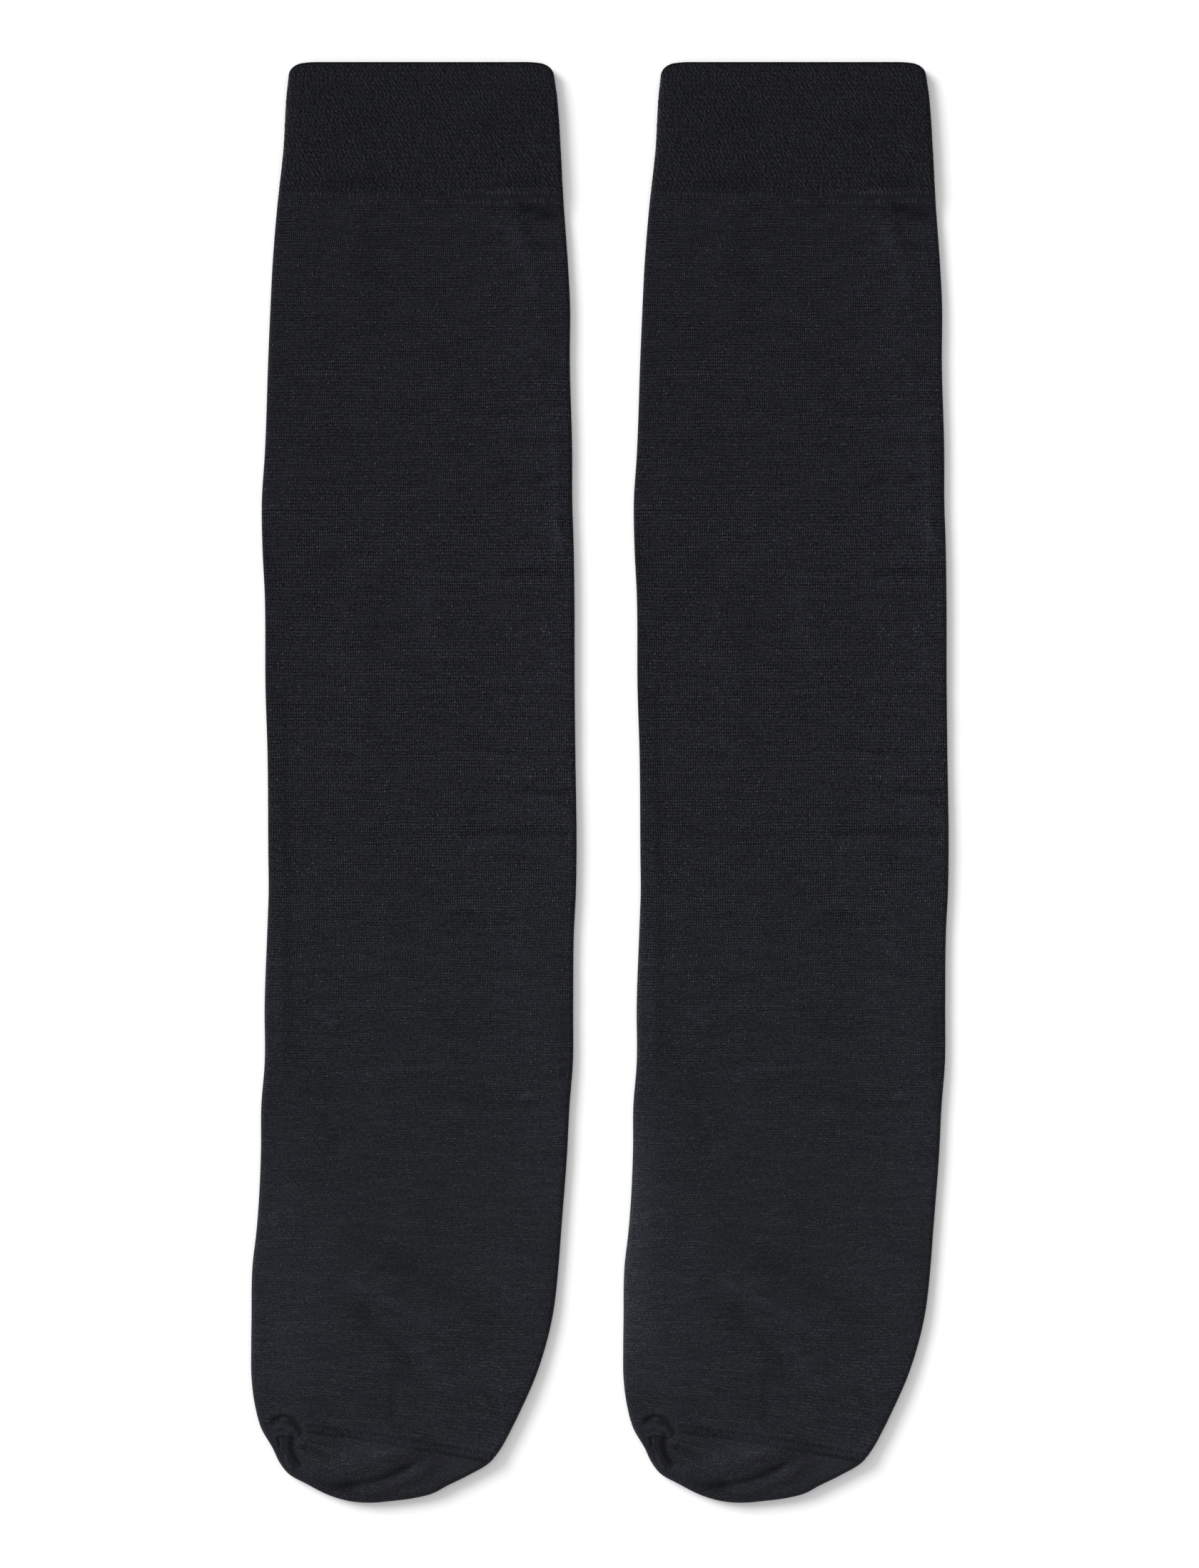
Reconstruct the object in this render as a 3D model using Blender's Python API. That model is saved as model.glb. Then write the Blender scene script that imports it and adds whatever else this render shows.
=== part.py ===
"""A pair of knee-high tube socks of fine knit, laid flat side by side.

Each sock is a flattened tube in three pieces: a double cuff, one tube for leg and foot, and a closed toe
cap. A piece is a wall of cloth round a thin hollow that opens at the mouth. Lengths are in metres. A sock's
own plane has two coordinates: across, from its centre line to the right, and down, from its mouth to its toe.
"""

from collections import namedtuple

import bmesh
import bpy
import numpy as np

# Driving dimensions
SOCK_LENGTH = 0.470
PAIR_SPACING = 0.1214  # from one sock's centre line to the other's
CUFF_DEPTH = 0.0429
KNIT_WALL = 0.0010
CUFF_WALL = 0.0015  # two layers of cloth: the welt is turned
HOLLOW = 0.0009  # left between the upper and the lower wall when the tube lies flat
SEAM_GAP = 0.0003

MOUTH_CORNER_ACROSS = 0.0038  # the cuff's rounded corners
MOUTH_CORNER_DOWN = 0.0027
MOUTH_SHOULDER_ACROSS = 0.0088  # the shallow slope of the mouth's edge beside them
MOUTH_SHOULDER_DOWN = 0.0012
MOUTH_CORNER_FADE = 0.012  # below this the rows are straight
EDGE_ROLL_TOP = 0.0030  # width over which a side fold rises to the upper surface
EDGE_ROLL_UNDER = 0.0013  # width over which it falls to the surface that the sock lies on

SEAM_LEFT_DOWN = 0.4437  # where the toe seam meets the left and the right edge
SEAM_RIGHT_DOWN = 0.4553
SEAM_BOW = 0.0009  # rise of the seam's middle towards the mouth
SEAM_RIDGE = 0.0003
SEAM_RIDGE_HALF_WIDTH = 0.0024
TILT_START_DOWN = 0.395  # above this the courses run straight across

BAND_DEPTH = 0.0060  # the linking band, where the double cuff steps down to the single knit
BAND_STEP = 0.0005

# The outline and the height of the laid tube, mouth to ball of the foot
Section = namedtuple("Section", "down left right loft")
SECTIONS = (
    Section(0.0036, 0.0408, 0.0457, 0.0031),
    Section(0.0098, 0.0415, 0.0466, 0.0031),
    Section(0.0284, 0.0426, 0.0480, 0.0031),
    Section(0.0461, 0.0445, 0.0489, 0.0031),
    Section(0.0657, 0.0461, 0.0503, 0.0031),
    Section(0.0797, 0.0468, 0.0510, 0.0032),
    Section(0.0960, 0.0475, 0.0509, 0.0032),
    Section(0.1286, 0.0487, 0.0517, 0.0031),
    Section(0.1426, 0.0496, 0.0517, 0.0031),
    Section(0.1589, 0.0494, 0.0522, 0.0032),
    Section(0.1729, 0.0487, 0.0524, 0.0033),
    Section(0.2055, 0.0484, 0.0525, 0.0032),
    Section(0.2242, 0.0478, 0.0527, 0.0031),
    Section(0.2591, 0.0475, 0.0531, 0.0033),
    Section(0.2708, 0.0474, 0.0529, 0.0032),
    Section(0.2824, 0.0478, 0.0523, 0.0031),
    Section(0.3080, 0.0487, 0.0520, 0.0031),
    Section(0.3267, 0.0487, 0.0519, 0.0031),
    Section(0.3407, 0.0498, 0.0508, 0.0032),
    Section(0.3547, 0.0499, 0.0501, 0.0032),
    Section(0.3826, 0.0515, 0.0480, 0.0032),
    Section(0.3919, 0.0526, 0.0473, 0.0032),
    Section(0.4106, 0.0530, 0.0450, 0.0034),
    Section(0.4199, 0.0531, 0.0427, 0.0035),
    Section(0.4292, 0.0530, 0.0396, 0.0037),
    Section(0.4385, 0.0518, 0.0355, 0.0039),
)

# The toe's edge, left to right
EdgePoint = namedtuple("EdgePoint", "across down")
TOE_EDGE = (
    EdgePoint(-0.0499, 0.4455),
    EdgePoint(-0.0459, 0.4525),
    EdgePoint(-0.0441, 0.4564),
    EdgePoint(-0.0415, 0.4600),
    EdgePoint(-0.0349, 0.4639),
    EdgePoint(-0.0280, 0.4674),
    EdgePoint(-0.0207, 0.4695),
    EdgePoint(-0.0140, 0.4700),
    EdgePoint(-0.0070, 0.4694),
    EdgePoint(0.0000, 0.4685),
    EdgePoint(0.0068, 0.4667),
    EdgePoint(0.0104, 0.4647),
    EdgePoint(0.0175, 0.4612),
    EdgePoint(0.0255, 0.4562),
    EdgePoint(0.0284, 0.4523),
    EdgePoint(0.0321, 0.4455),
)
TOE_LOFT = 0.0043
TOE_LOFT_DOWN = 0.4600  # from here to the tip the loft stays the same

# Folds in the upper wall: each runs from start past bend to end and fades over half_width to either side
Fold = namedtuple("Fold", "start bend end half_width rise")
FOLDS = (
    Fold((0.0338, 0.0447), (0.0396, 0.0460), (0.0480, 0.0499), 0.0015, -0.0005),  # under the cuff's end
    Fold((0.0457, 0.1170), (0.0472, 0.1400), (0.0457, 0.1730), 0.0020, 0.0003),  # along the calf's edge
    Fold((0.0140, 0.2498), (0.0330, 0.2492), (0.0512, 0.2507), 0.0018, -0.0004),  # across the shin
    Fold((0.0180, 0.2565), (0.0300, 0.2560), (0.0440, 0.2570), 0.0035, 0.0002),
    Fold((0.0048, 0.3372), (0.0260, 0.3420), (0.0478, 0.3407), 0.0026, -0.0003),  # across the ankle
    Fold((-0.0210, 0.3989), (0.0000, 0.4094), (0.0256, 0.4199), 0.0035, 0.0004),  # over the instep
    Fold((-0.0045, 0.3966), (0.0140, 0.4060), (0.0280, 0.4129), 0.0050, -0.0003),
    Fold((-0.0139, 0.4094), (-0.0104, 0.4176), (-0.0080, 0.4420), 0.0030, -0.0003),
    Fold((-0.0465, 0.4446), (-0.0415, 0.4385), (-0.0362, 0.4479), 0.0012, -0.0009),  # pucker, upper arc
    Fold((-0.0442, 0.4468), (-0.0420, 0.4455), (-0.0400, 0.4462), 0.0011, 0.0008),  # pucker, knot
    Fold((-0.0417, 0.4483), (-0.0410, 0.4537), (-0.0373, 0.4576), 0.0011, -0.0010),  # pucker, groove
    Fold((-0.0354, 0.4502), (-0.0300, 0.4514), (-0.0228, 0.4542), 0.0014, -0.0006),
    Fold((-0.0338, 0.4572), (-0.0150, 0.4590), (0.0023, 0.4502), 0.0032, 0.0008),  # bulge over the toes
    Fold((-0.0291, 0.4623), (-0.0080, 0.4653), (0.0086, 0.4488), 0.0016, -0.0014),  # valley under it
    Fold((-0.0175, 0.4665), (-0.0046, 0.4653), (0.0070, 0.4572), 0.0022, 0.0006),  # roll at the tip
)

# Grid of the walls: columns are places across from an edge, rows are places down from the mouth
LEFT_STEPS = (0.0, 0.0004, 0.0012, 0.0024, 0.0042, 0.0062, 0.0082, 0.0104, 0.0130, 0.0160)
RIGHT_STEPS = (0.0, 0.0004, 0.0012, 0.0024, 0.0042, 0.0065)
UNDER_STEPS = (0.0, 0.0003, 0.0008, 0.0014)
LEG_MIDDLE_COLUMNS = 14
TOE_MIDDLE_COLUMNS = 20
UNDER_MIDDLE_COLUMNS = 3
ROW_SPACING = 0.0100
ROW_CLEARANCE = 0.0040  # an evenly spaced row is left out this near to a fold's own row
CLOSEST_ROWS = 0.0013
ABOVE_SEAM_STEPS = (0.0015, 0.0032, 0.0052, 0.0078, 0.0110)
CUFF_ROWS = (0.0008, 0.0040, 0.0100, 0.0200, 0.0310)
RIM_TURNS = 4
INNER_ROWS = 8
TOE_ROWS = (0.0, 0.09, 0.20, 0.31, 0.42, 0.53, 0.63, 0.72, 0.80, 0.87, 0.93, 0.975, 1.0)  # seam to tip
TOE_INNER_ROWS = (0.0, 0.3, 0.6, 0.85, 0.96, 1.0)
EDGE_SAMPLES = 640
FOLD_SAMPLES = 14
SAME_POINT = 2e-6
SHARP_DEGREES = 50

Finish = namedtuple("Finish", "color roughness")
FINISHES = {
    "cuff": Finish((0.0130, 0.0137, 0.0168, 1.0), 0.85),
    "leg_and_foot": Finish((0.0152, 0.0160, 0.0203, 1.0), 0.80),
    "toe_cap": Finish((0.0182, 0.0195, 0.0235, 1.0), 0.80),
}


def smooth_values(knots, values, wanted):
    """Values at wanted on a smooth curve through the knots: cubic pieces, sloped as their neighbours are."""
    knots = np.asarray(knots, float)
    values = np.asarray(values, float)
    slopes = np.gradient(values, knots, axis=0)
    index = np.clip(np.searchsorted(knots, wanted) - 1, 0, len(knots) - 2)
    span = knots[index + 1] - knots[index]
    t = np.clip((wanted - knots[index]) / span, 0.0, 1.0)
    if values.ndim > 1:
        t = t[:, None]
        span = span[:, None]
    start = (1 + 2 * t) * (1 - t) ** 2 * values[index]
    end = t * t * (3 - 2 * t) * values[index + 1]
    bends = span * t * (1 - t) * ((1 - t) * slopes[index] - t * slopes[index + 1])
    return start + end + bends


def distance_to_path(points, path):
    """Shortest distance from each point to a path of straight pieces."""
    starts = path[:-1]
    runs = path[1:] - starts
    offsets = points[:, None, :] - starts[None, :, :]
    share = (offsets * runs).sum(axis=2) / (runs * runs).sum(axis=1)
    nearest = offsets - np.clip(share, 0.0, 1.0)[:, :, None] * runs
    return np.sqrt((nearest * nearest).sum(axis=2).min(axis=1))


def swell(share):
    """A quarter of an ellipse: 0 at the edge, 1 from the end of the roll inwards."""
    return np.sqrt(1 - (1 - np.clip(share, 0.0, 1.0)) ** 2)


class Edge:
    """The sock's outline from the left mouth corner round the toe to the right one, moved in by an inset."""

    def __init__(self, inset=0.0):
        left = [(-section.left, section.down) for section in SECTIONS]
        right = [(section.right, section.down) for section in reversed(SECTIONS)]
        corners = np.array(left + list(TOE_EDGE) + right)
        along = np.concatenate([[0.0], np.cumsum(np.linalg.norm(np.diff(corners, axis=0), axis=1))])
        path = smooth_values(along, corners, np.linspace(0.0, along[-1], EDGE_SAMPLES))
        heading = np.gradient(path, axis=0)
        heading /= np.linalg.norm(heading, axis=1)[:, None]
        inwards = np.column_stack([heading[:, 1], -heading[:, 0]])
        self.path = path + inset * inwards
        self.lowest = int(self.path[:, 1].argmax())

    def left(self, down):
        side = self.path[: self.lowest]
        return np.interp(down, side[:, 1], side[:, 0])

    def right(self, down):
        side = self.path[self.lowest :][::-1]
        return np.interp(down, side[:, 1], side[:, 0])

    def round_toe(self, left_down, right_down, shares):
        """Points on the outline from left_down round the tip to right_down, at shares of that length."""
        before = self.path[: self.lowest]
        after = self.path[self.lowest :]
        start = (self.left(left_down), left_down)
        end = (self.right(right_down), right_down)
        before = before[before[:, 1] > left_down]
        after = after[after[:, 1] > right_down]
        path = np.vstack([[start], before, after, [end]])
        along = np.concatenate([[0.0], np.cumsum(np.linalg.norm(np.diff(path, axis=0), axis=1))])
        wanted = np.asarray(shares) * along[-1]
        return np.column_stack([np.interp(wanted, along, path[:, 0]), np.interp(wanted, along, path[:, 1])])


OUTLINE = Edge()


def fold_path(fold):
    """The fold's line: a parabola from start to end, drawn towards bend."""
    t = np.linspace(0.0, 1.0, FOLD_SAMPLES)[:, None]
    start, bend, end = (np.array(place) for place in fold[:3])
    return (1 - t) ** 2 * start + 2 * t * (1 - t) * bend + t * t * end


def seam_row(shift, shares, edge=OUTLINE):
    """The toe seam's line from edge to edge, moved down by shift, at shares of its length."""
    shares = np.asarray(shares)
    left_down = SEAM_LEFT_DOWN + shift
    right_down = SEAM_RIGHT_DOWN + shift
    across = edge.left(left_down) + shares * (edge.right(right_down) - edge.left(left_down))
    down = left_down + shares * (right_down - left_down) - SEAM_BOW * np.sin(np.pi * shares)
    return np.column_stack([across, down])


def upper_surface(points, wall):
    """Height of the upper face: the loft, its folds and the seam's ridge, rolled down at the edge."""
    knots = [section.down for section in SECTIONS] + [TOE_LOFT_DOWN]
    lofts = [section.loft for section in SECTIONS] + [TOE_LOFT]
    height = smooth_values(knots, lofts, points[:, 1]) + 2 * (wall - KNIT_WALL)
    below_cuff = (points[:, 1] - CUFF_DEPTH) / BAND_DEPTH
    on_band = (below_cuff > 0) & (below_cuff < 1)
    height += on_band * BAND_STEP * np.cos(np.pi / 2 * below_cuff) ** 2
    for fold in FOLDS:
        share = distance_to_path(points, fold_path(fold)) / fold.half_width
        height += fold.rise * np.exp(-share * share)
    from_seam = distance_to_path(points, seam_row(0.0, np.linspace(0.0, 1.0, FOLD_SAMPLES)))
    height += SEAM_RIDGE * np.exp(-((from_seam / SEAM_RIDGE_HALF_WIDTH) ** 2))
    rim = wall + HOLLOW / 2
    return rim + (height - rim) * swell(distance_to_path(points, OUTLINE.path) / EDGE_ROLL_TOP)


def under_surface(points, wall):
    """Height of the lower face: flat on the ground, rolled up to the rim at the edge."""
    rim = wall + HOLLOW / 2
    return rim * (1 - swell(distance_to_path(points, OUTLINE.path) / EDGE_ROLL_UNDER))


def hollow_surface(points, wall, side):
    """Height of the hollow's ceiling (side 1) or floor (side -1), plain and closed at its edge."""
    from_edge = distance_to_path(points, OUTLINE.path) - wall
    return wall + HOLLOW / 2 + side * HOLLOW / 2 * swell(from_edge / EDGE_ROLL_UNDER)


def column_shares(length, left_steps, right_steps, middle_columns):
    """Column places on a row, as shares of its length: steps in from both edges, even columns between."""
    middle = np.linspace(left_steps[-1], length - right_steps[-1], middle_columns + 2)[1:-1]
    return np.concatenate([left_steps, middle, length - np.array(right_steps[::-1])]) / length


def ring(upper, upper_height, under, under_height):
    """A ring of points: the upper row from left to right, then the lower row back without its ends."""
    over = np.column_stack([upper, upper_height])
    back = np.column_stack([under, under_height])[-2:0:-1]
    return np.vstack([over, back])


def tube_ring(row_of, edge, wall, inner=False):
    """A ring of the tube, outside or inside the wall. row_of gives a row's points at shares of its length."""
    ends = row_of(np.array([0.0, 1.0]), edge)
    length = float(np.linalg.norm(ends[1] - ends[0]))
    upper = row_of(column_shares(length, LEFT_STEPS, RIGHT_STEPS, LEG_MIDDLE_COLUMNS), edge)
    under = row_of(column_shares(length, UNDER_STEPS, UNDER_STEPS, UNDER_MIDDLE_COLUMNS), edge)
    if inner:
        return ring(upper, hollow_surface(upper, wall, 1), under, hollow_surface(under, wall, -1))
    return ring(upper, upper_surface(upper, wall), under, under_surface(under, wall))


def cuff_row(down):
    """A row of the cuff. Near the mouth its ends slope down and drop, which rounds the corners."""

    def row_of(shares, edge):
        width = edge.right(down + MOUTH_CORNER_DOWN) - edge.left(down + MOUTH_CORNER_DOWN)
        from_side = np.minimum(shares, 1 - shares) * width
        corner = 1 - np.clip(from_side / MOUTH_CORNER_ACROSS, 0.0, 1.0)
        shoulder = 1 - np.clip(from_side / MOUTH_SHOULDER_ACROSS, 0.0, 1.0)
        drop = MOUTH_CORNER_DOWN * (1 - np.sqrt(1 - corner * corner))
        drop += MOUTH_SHOULDER_DOWN * shoulder * shoulder
        drop *= max(0.0, 1 - down / MOUTH_CORNER_FADE)
        downs = down + drop
        return np.column_stack([edge.left(downs) + shares * (edge.right(downs) - edge.left(downs)), downs])

    return row_of


def leg_row(down):
    """A row of the leg and foot. From the instep on it tilts and bows until it lies along the toe seam."""
    last_left = SEAM_LEFT_DOWN - SEAM_GAP / 2
    last_right = SEAM_RIGHT_DOWN - SEAM_GAP / 2
    turned = max(0.0, (down - TILT_START_DOWN) / (last_left - TILT_START_DOWN))
    right_down = down + (last_right - last_left) * turned**2

    def row_of(shares, edge):
        across = edge.left(down) + shares * (edge.right(right_down) - edge.left(down))
        downs = down + shares * (right_down - down) - turned**2 * SEAM_BOW * np.sin(np.pi * shares)
        return np.column_stack([across, downs])

    return row_of


def leg_stations():
    """Where the leg's rows lie: evenly, and on the crest and both flanks of each fold that runs across."""
    first = CUFF_DEPTH + SEAM_GAP / 2
    last = SEAM_LEFT_DOWN - SEAM_GAP / 2
    even = np.linspace(first, last, round((last - first) / ROW_SPACING) + 1)
    wanted = [first, last, first + BAND_DEPTH / 2, first + BAND_DEPTH]
    for fold in FOLDS:
        run = np.subtract(fold.end, fold.start)
        if abs(run[0]) > 2 * abs(run[1]):
            middle = float(fold_path(fold)[:, 1].mean())
            wanted += [middle - fold.half_width, middle, middle + fold.half_width]
    wanted += [last - step for step in ABOVE_SEAM_STEPS]
    kept = [down for down in wanted if first <= down <= last]
    kept += [down for down in even if min(abs(down - other) for other in kept) > ROW_CLEARANCE]
    kept.sort()
    return [
        down for i, down in enumerate(kept) if i == 0 or down - kept[i - 1] > CLOSEST_ROWS or down == last
    ]


def cuff_rings():
    """The cuff, once round its wall: out from the mouth, back inside, and over the mouth's rounded rim."""
    inside = Edge(CUFF_WALL)
    end = CUFF_DEPTH - SEAM_GAP / 2
    within = (CUFF_ROWS[0], CUFF_ROWS[2], end)
    outer = [tube_ring(cuff_row(down), OUTLINE, CUFF_WALL) for down in (*CUFF_ROWS, end)]
    inner = [tube_ring(cuff_row(down), inside, CUFF_WALL, inner=True) for down in within]
    rim = []
    for turn in range(1, RIM_TURNS):
        angle = np.pi * turn / RIM_TURNS
        middle = (outer[0] + inner[0]) / 2
        turned = middle - (outer[0] - inner[0]) / 2 * np.cos(angle)
        turned[:, 1] -= CUFF_ROWS[0] * np.sin(angle)
        rim.append(turned)
    return outer + inner[::-1] + rim, True


def leg_rings():
    """The leg and foot, once round its wall: down the outside and back up inside."""
    inside = Edge(KNIT_WALL)
    stations = leg_stations()
    outer = [tube_ring(leg_row(down), OUTLINE, KNIT_WALL) for down in stations]
    within = np.linspace(stations[0], stations[-1], INNER_ROWS)
    inner = [tube_ring(leg_row(down), inside, KNIT_WALL, inner=True) for down in within]
    return outer + inner[::-1], True


def toe_rings():
    """The toe cap, from the hollow's closed tip out to the seam and over the outside to the tip's edge.

    Its rows run from one end of the seam to the other, and swing from the seam to the outline."""
    shift = SEAM_GAP / 2
    rings = []
    for inset, shares_down, inner in ((KNIT_WALL, TOE_INNER_ROWS[::-1], True), (0.0, TOE_ROWS, False)):
        edge = Edge(inset)
        ends = seam_row(shift, [0.0, 1.0], edge)
        length = float(np.linalg.norm(ends[1] - ends[0]))
        shares = column_shares(length, LEFT_STEPS, RIGHT_STEPS, TOE_MIDDLE_COLUMNS)
        near = seam_row(shift, shares, edge)
        far = edge.round_toe(SEAM_LEFT_DOWN + shift, SEAM_RIGHT_DOWN + shift, shares)
        for share in shares_down:
            row = near + share * (far - near)
            if inner:
                rings.append(
                    ring(row, hollow_surface(row, KNIT_WALL, 1), row, hollow_surface(row, KNIT_WALL, -1))
                )
            else:
                rings.append(ring(row, upper_surface(row, KNIT_WALL), row, under_surface(row, KNIT_WALL)))
    return rings, False


def mesh_of_rings(name, rings, around):
    """A closed mesh through the rings; around joins the last ring to the first."""
    size = len(rings[0])
    places = np.vstack(rings)
    points = np.column_stack([places[:, 0], SOCK_LENGTH / 2 - places[:, 1], places[:, 2]])
    faces = []
    for i in range(len(rings) if around else len(rings) - 1):
        here = i * size
        there = (i + 1) % len(rings) * size
        for j in range(size):
            k = (j + 1) % size
            faces.append((here + j, here + k, there + k, there + j))
    mesh = bpy.data.meshes.new(name)
    mesh.from_pydata(points.tolist(), [], faces)
    shape = bmesh.new()
    shape.from_mesh(mesh)
    bmesh.ops.remove_doubles(shape, verts=shape.verts, dist=SAME_POINT)
    bmesh.ops.recalc_face_normals(shape, faces=shape.faces)
    shape.to_mesh(mesh)
    shape.free()
    mesh.shade_smooth()
    mesh.set_sharp_from_angle(angle=np.radians(SHARP_DEGREES))
    return mesh


def dress(mesh, name, finish):
    """The piece's own knit colour and roughness."""
    material = bpy.data.materials.new(name)
    material.use_nodes = True
    surface = material.node_tree.nodes["Principled BSDF"]
    surface.inputs["Base Color"].default_value = finish.color
    surface.inputs["Roughness"].default_value = finish.roughness
    surface.inputs["Metallic"].default_value = 0.0
    mesh.materials.append(material)


def main():
    for old in list(bpy.data.objects):
        bpy.data.objects.remove(old)
    pieces = {"cuff": cuff_rings(), "leg_and_foot": leg_rings(), "toe_cap": toe_rings()}
    for side, direction in (("left", -1), ("right", 1)):
        sock = bpy.data.objects.new(f"{side}_sock", None)
        sock.location.x = direction * PAIR_SPACING / 2
        bpy.context.scene.collection.objects.link(sock)
        for piece, (rings, around) in pieces.items():
            name = f"{side}_{piece}"
            mesh = mesh_of_rings(name, rings, around)
            dress(mesh, name, FINISHES[piece])
            node = bpy.data.objects.new(name, mesh)
            node.parent = sock
            bpy.context.scene.collection.objects.link(node)


main()
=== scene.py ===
"""Looks of a pair of knee-high tube socks of fine dark knit, laid flat side by side.

Each sock has a double cuff, a linking band, one tube for leg and foot, a toe cap, and the seam between them.
Lengths are in metres, and those of folds and of the marks of tone, painted shade and painted highlight in
millimetres. A sock's own plane has two coordinates: across, from its centre line to the right, and down, from
its mouth to its toe. Heights are above the surface that it lies on.
"""

import logging
import math
from collections.abc import Callable, Sequence
from dataclasses import astuple, dataclass, field
from enum import Enum

import bmesh
import bpy
import numpy as np
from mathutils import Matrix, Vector


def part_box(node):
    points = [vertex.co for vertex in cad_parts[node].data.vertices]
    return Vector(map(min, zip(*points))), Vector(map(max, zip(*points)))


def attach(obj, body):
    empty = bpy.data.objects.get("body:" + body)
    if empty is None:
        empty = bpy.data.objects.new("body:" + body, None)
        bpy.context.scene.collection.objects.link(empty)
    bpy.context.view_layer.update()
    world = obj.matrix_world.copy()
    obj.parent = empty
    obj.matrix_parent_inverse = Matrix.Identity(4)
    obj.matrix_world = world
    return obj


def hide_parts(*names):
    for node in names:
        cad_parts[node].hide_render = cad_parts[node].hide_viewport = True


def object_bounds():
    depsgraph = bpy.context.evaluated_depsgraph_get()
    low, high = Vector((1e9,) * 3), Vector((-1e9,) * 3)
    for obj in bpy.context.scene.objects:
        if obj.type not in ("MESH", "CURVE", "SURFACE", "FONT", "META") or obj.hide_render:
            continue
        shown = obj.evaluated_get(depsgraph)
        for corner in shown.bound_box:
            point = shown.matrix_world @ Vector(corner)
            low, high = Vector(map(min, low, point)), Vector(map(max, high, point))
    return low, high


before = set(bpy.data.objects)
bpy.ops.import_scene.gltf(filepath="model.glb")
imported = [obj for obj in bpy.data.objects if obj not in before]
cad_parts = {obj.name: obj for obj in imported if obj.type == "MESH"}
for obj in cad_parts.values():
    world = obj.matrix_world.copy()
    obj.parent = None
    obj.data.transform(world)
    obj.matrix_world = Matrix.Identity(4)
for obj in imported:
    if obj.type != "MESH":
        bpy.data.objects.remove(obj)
CAD_LOW, CAD_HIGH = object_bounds()

log = logging.getLogger("socks")

Array = np.ndarray
Pair = tuple[float, float]
Color = tuple[float, float, float, float]
Socket = bpy.types.NodeSocket

MM = 0.001
SOCK_LENGTH = 0.470
CUFF_DEPTH = 0.0429
KNIT_WALL = 0.0010
CUFF_WALL = 0.0015  # two layers of cloth: the welt is turned
HOLLOW = 0.0009  # left between the walls at the side folds
SEAM_GAP = 0.0003

MOUTH_CORNER_ACROSS = 0.0038  # the cuff's rounded corners
MOUTH_CORNER_DOWN = 0.0027
MOUTH_SHOULDER_ACROSS = 0.0088  # the shallow slope of the mouth's edge beside them
MOUTH_SHOULDER_DOWN = 0.0012
MOUTH_CORNER_FADE = 0.012

SEAM_LEFT_DOWN = 0.4437  # where the toe seam meets the left and the right edge
SEAM_RIGHT_DOWN = 0.4553
SEAM_BOW = 0.0009
SEAM_RIDGE = 0.0003
SEAM_RIDGE_HALF_WIDTH = 0.0024
TILT_START_DOWN = 0.395  # above this the courses run straight across

BAND_DEPTH = 0.0060  # where the double cuff steps down to the single knit
BAND_STEP = 0.0005
BAND_LEFT_DOWN = 0.0452  # the linking band's middle at the left and the right edge
BAND_RIGHT_DOWN = 0.0440
BAND_GROOVE = 0.00012  # the band lies in a groove of the lower face, which stays flat
BAND_GROOVE_HALF_WIDTH = 0.0026

WALES_ROUND = 262  # stitches round the foot, counted over both faces
WALE_RUN = (  # the knit is closer under the cuff: place down the leg and stitches round it
    (0.0429, 284.0),
    (0.0680, 278.0),
    (0.1240, 269.0),
    (0.1940, 260.0),
    (0.2450, 258.0),
    (0.2940, 261.0),
    (0.3940, 262.0),
    (0.4700, 262.0),
)
CUFF_WALES_ROUND = 132
CUFF_SLANT = 0.68  # how many stitches a stitch of the cuff leans across over one row
BAND_LOOPS_ROUND = 160
STACK_LEAN = -0.14  # the cuff's stitches lean across from row to row, in stitches,
STACK_WAVES = ((0.11, 1.7), (0.07, 4.1))  # with waves: reach in stitches, and turn in a row
BLUNTNESS = 0.6  # power of the sine along a raised stitch, which rounds its ends
PATCHES_PER_METRE = 260.0  # of a warmer and a cooler cast
CAST_RUN = (-0.16, 0.17)  # the foot's even cast fades out over this run, towards the mouths
COURSE_WANDER = 0.35  # in courses, over broad patches
COURSE_WANDER_CELL = (0.030, 0.018)
COURSE_RIPPLE = (0.16, 0.45)  # the same over small patches, on the leg and on the foot
COURSE_RIPPLE_CELL = (0.007, 0.008)
WALE_WANDER = (0.28, 0.21)  # in stitches, on the leg and on the foot
WALE_WANDER_CELL = (0.0033, 0.0028)
FOOT_FROM, FOOT_TO = 0.20, 0.40  # over this way down the leg's knit gives way to the foot's

EDGE_SAMPLES = 640  # points on the outline
FOLD_SAMPLES = 14  # points on the line of a fold, a tint or the seam
BLOCK = 4096  # points whose distances to a path are worked out at once
SAME_POINT = 2e-6  # points closer than this are one
SHARP_DEGREES = 60

STITCHES = "stitches"  # names of the meshes' own map and attributes
CREST = "crest"
# the tone attribute carries the yarn's tone together with painted shade and painted highlight
TONE_AND_PAINTED_SHADING = "tone"


@dataclass(frozen=True)
class Section:
    """One row of the laid tube: how far its edges lie from the sock's centre line, and how high it stands."""

    down: float
    left: float
    right: float
    loft: float


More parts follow.
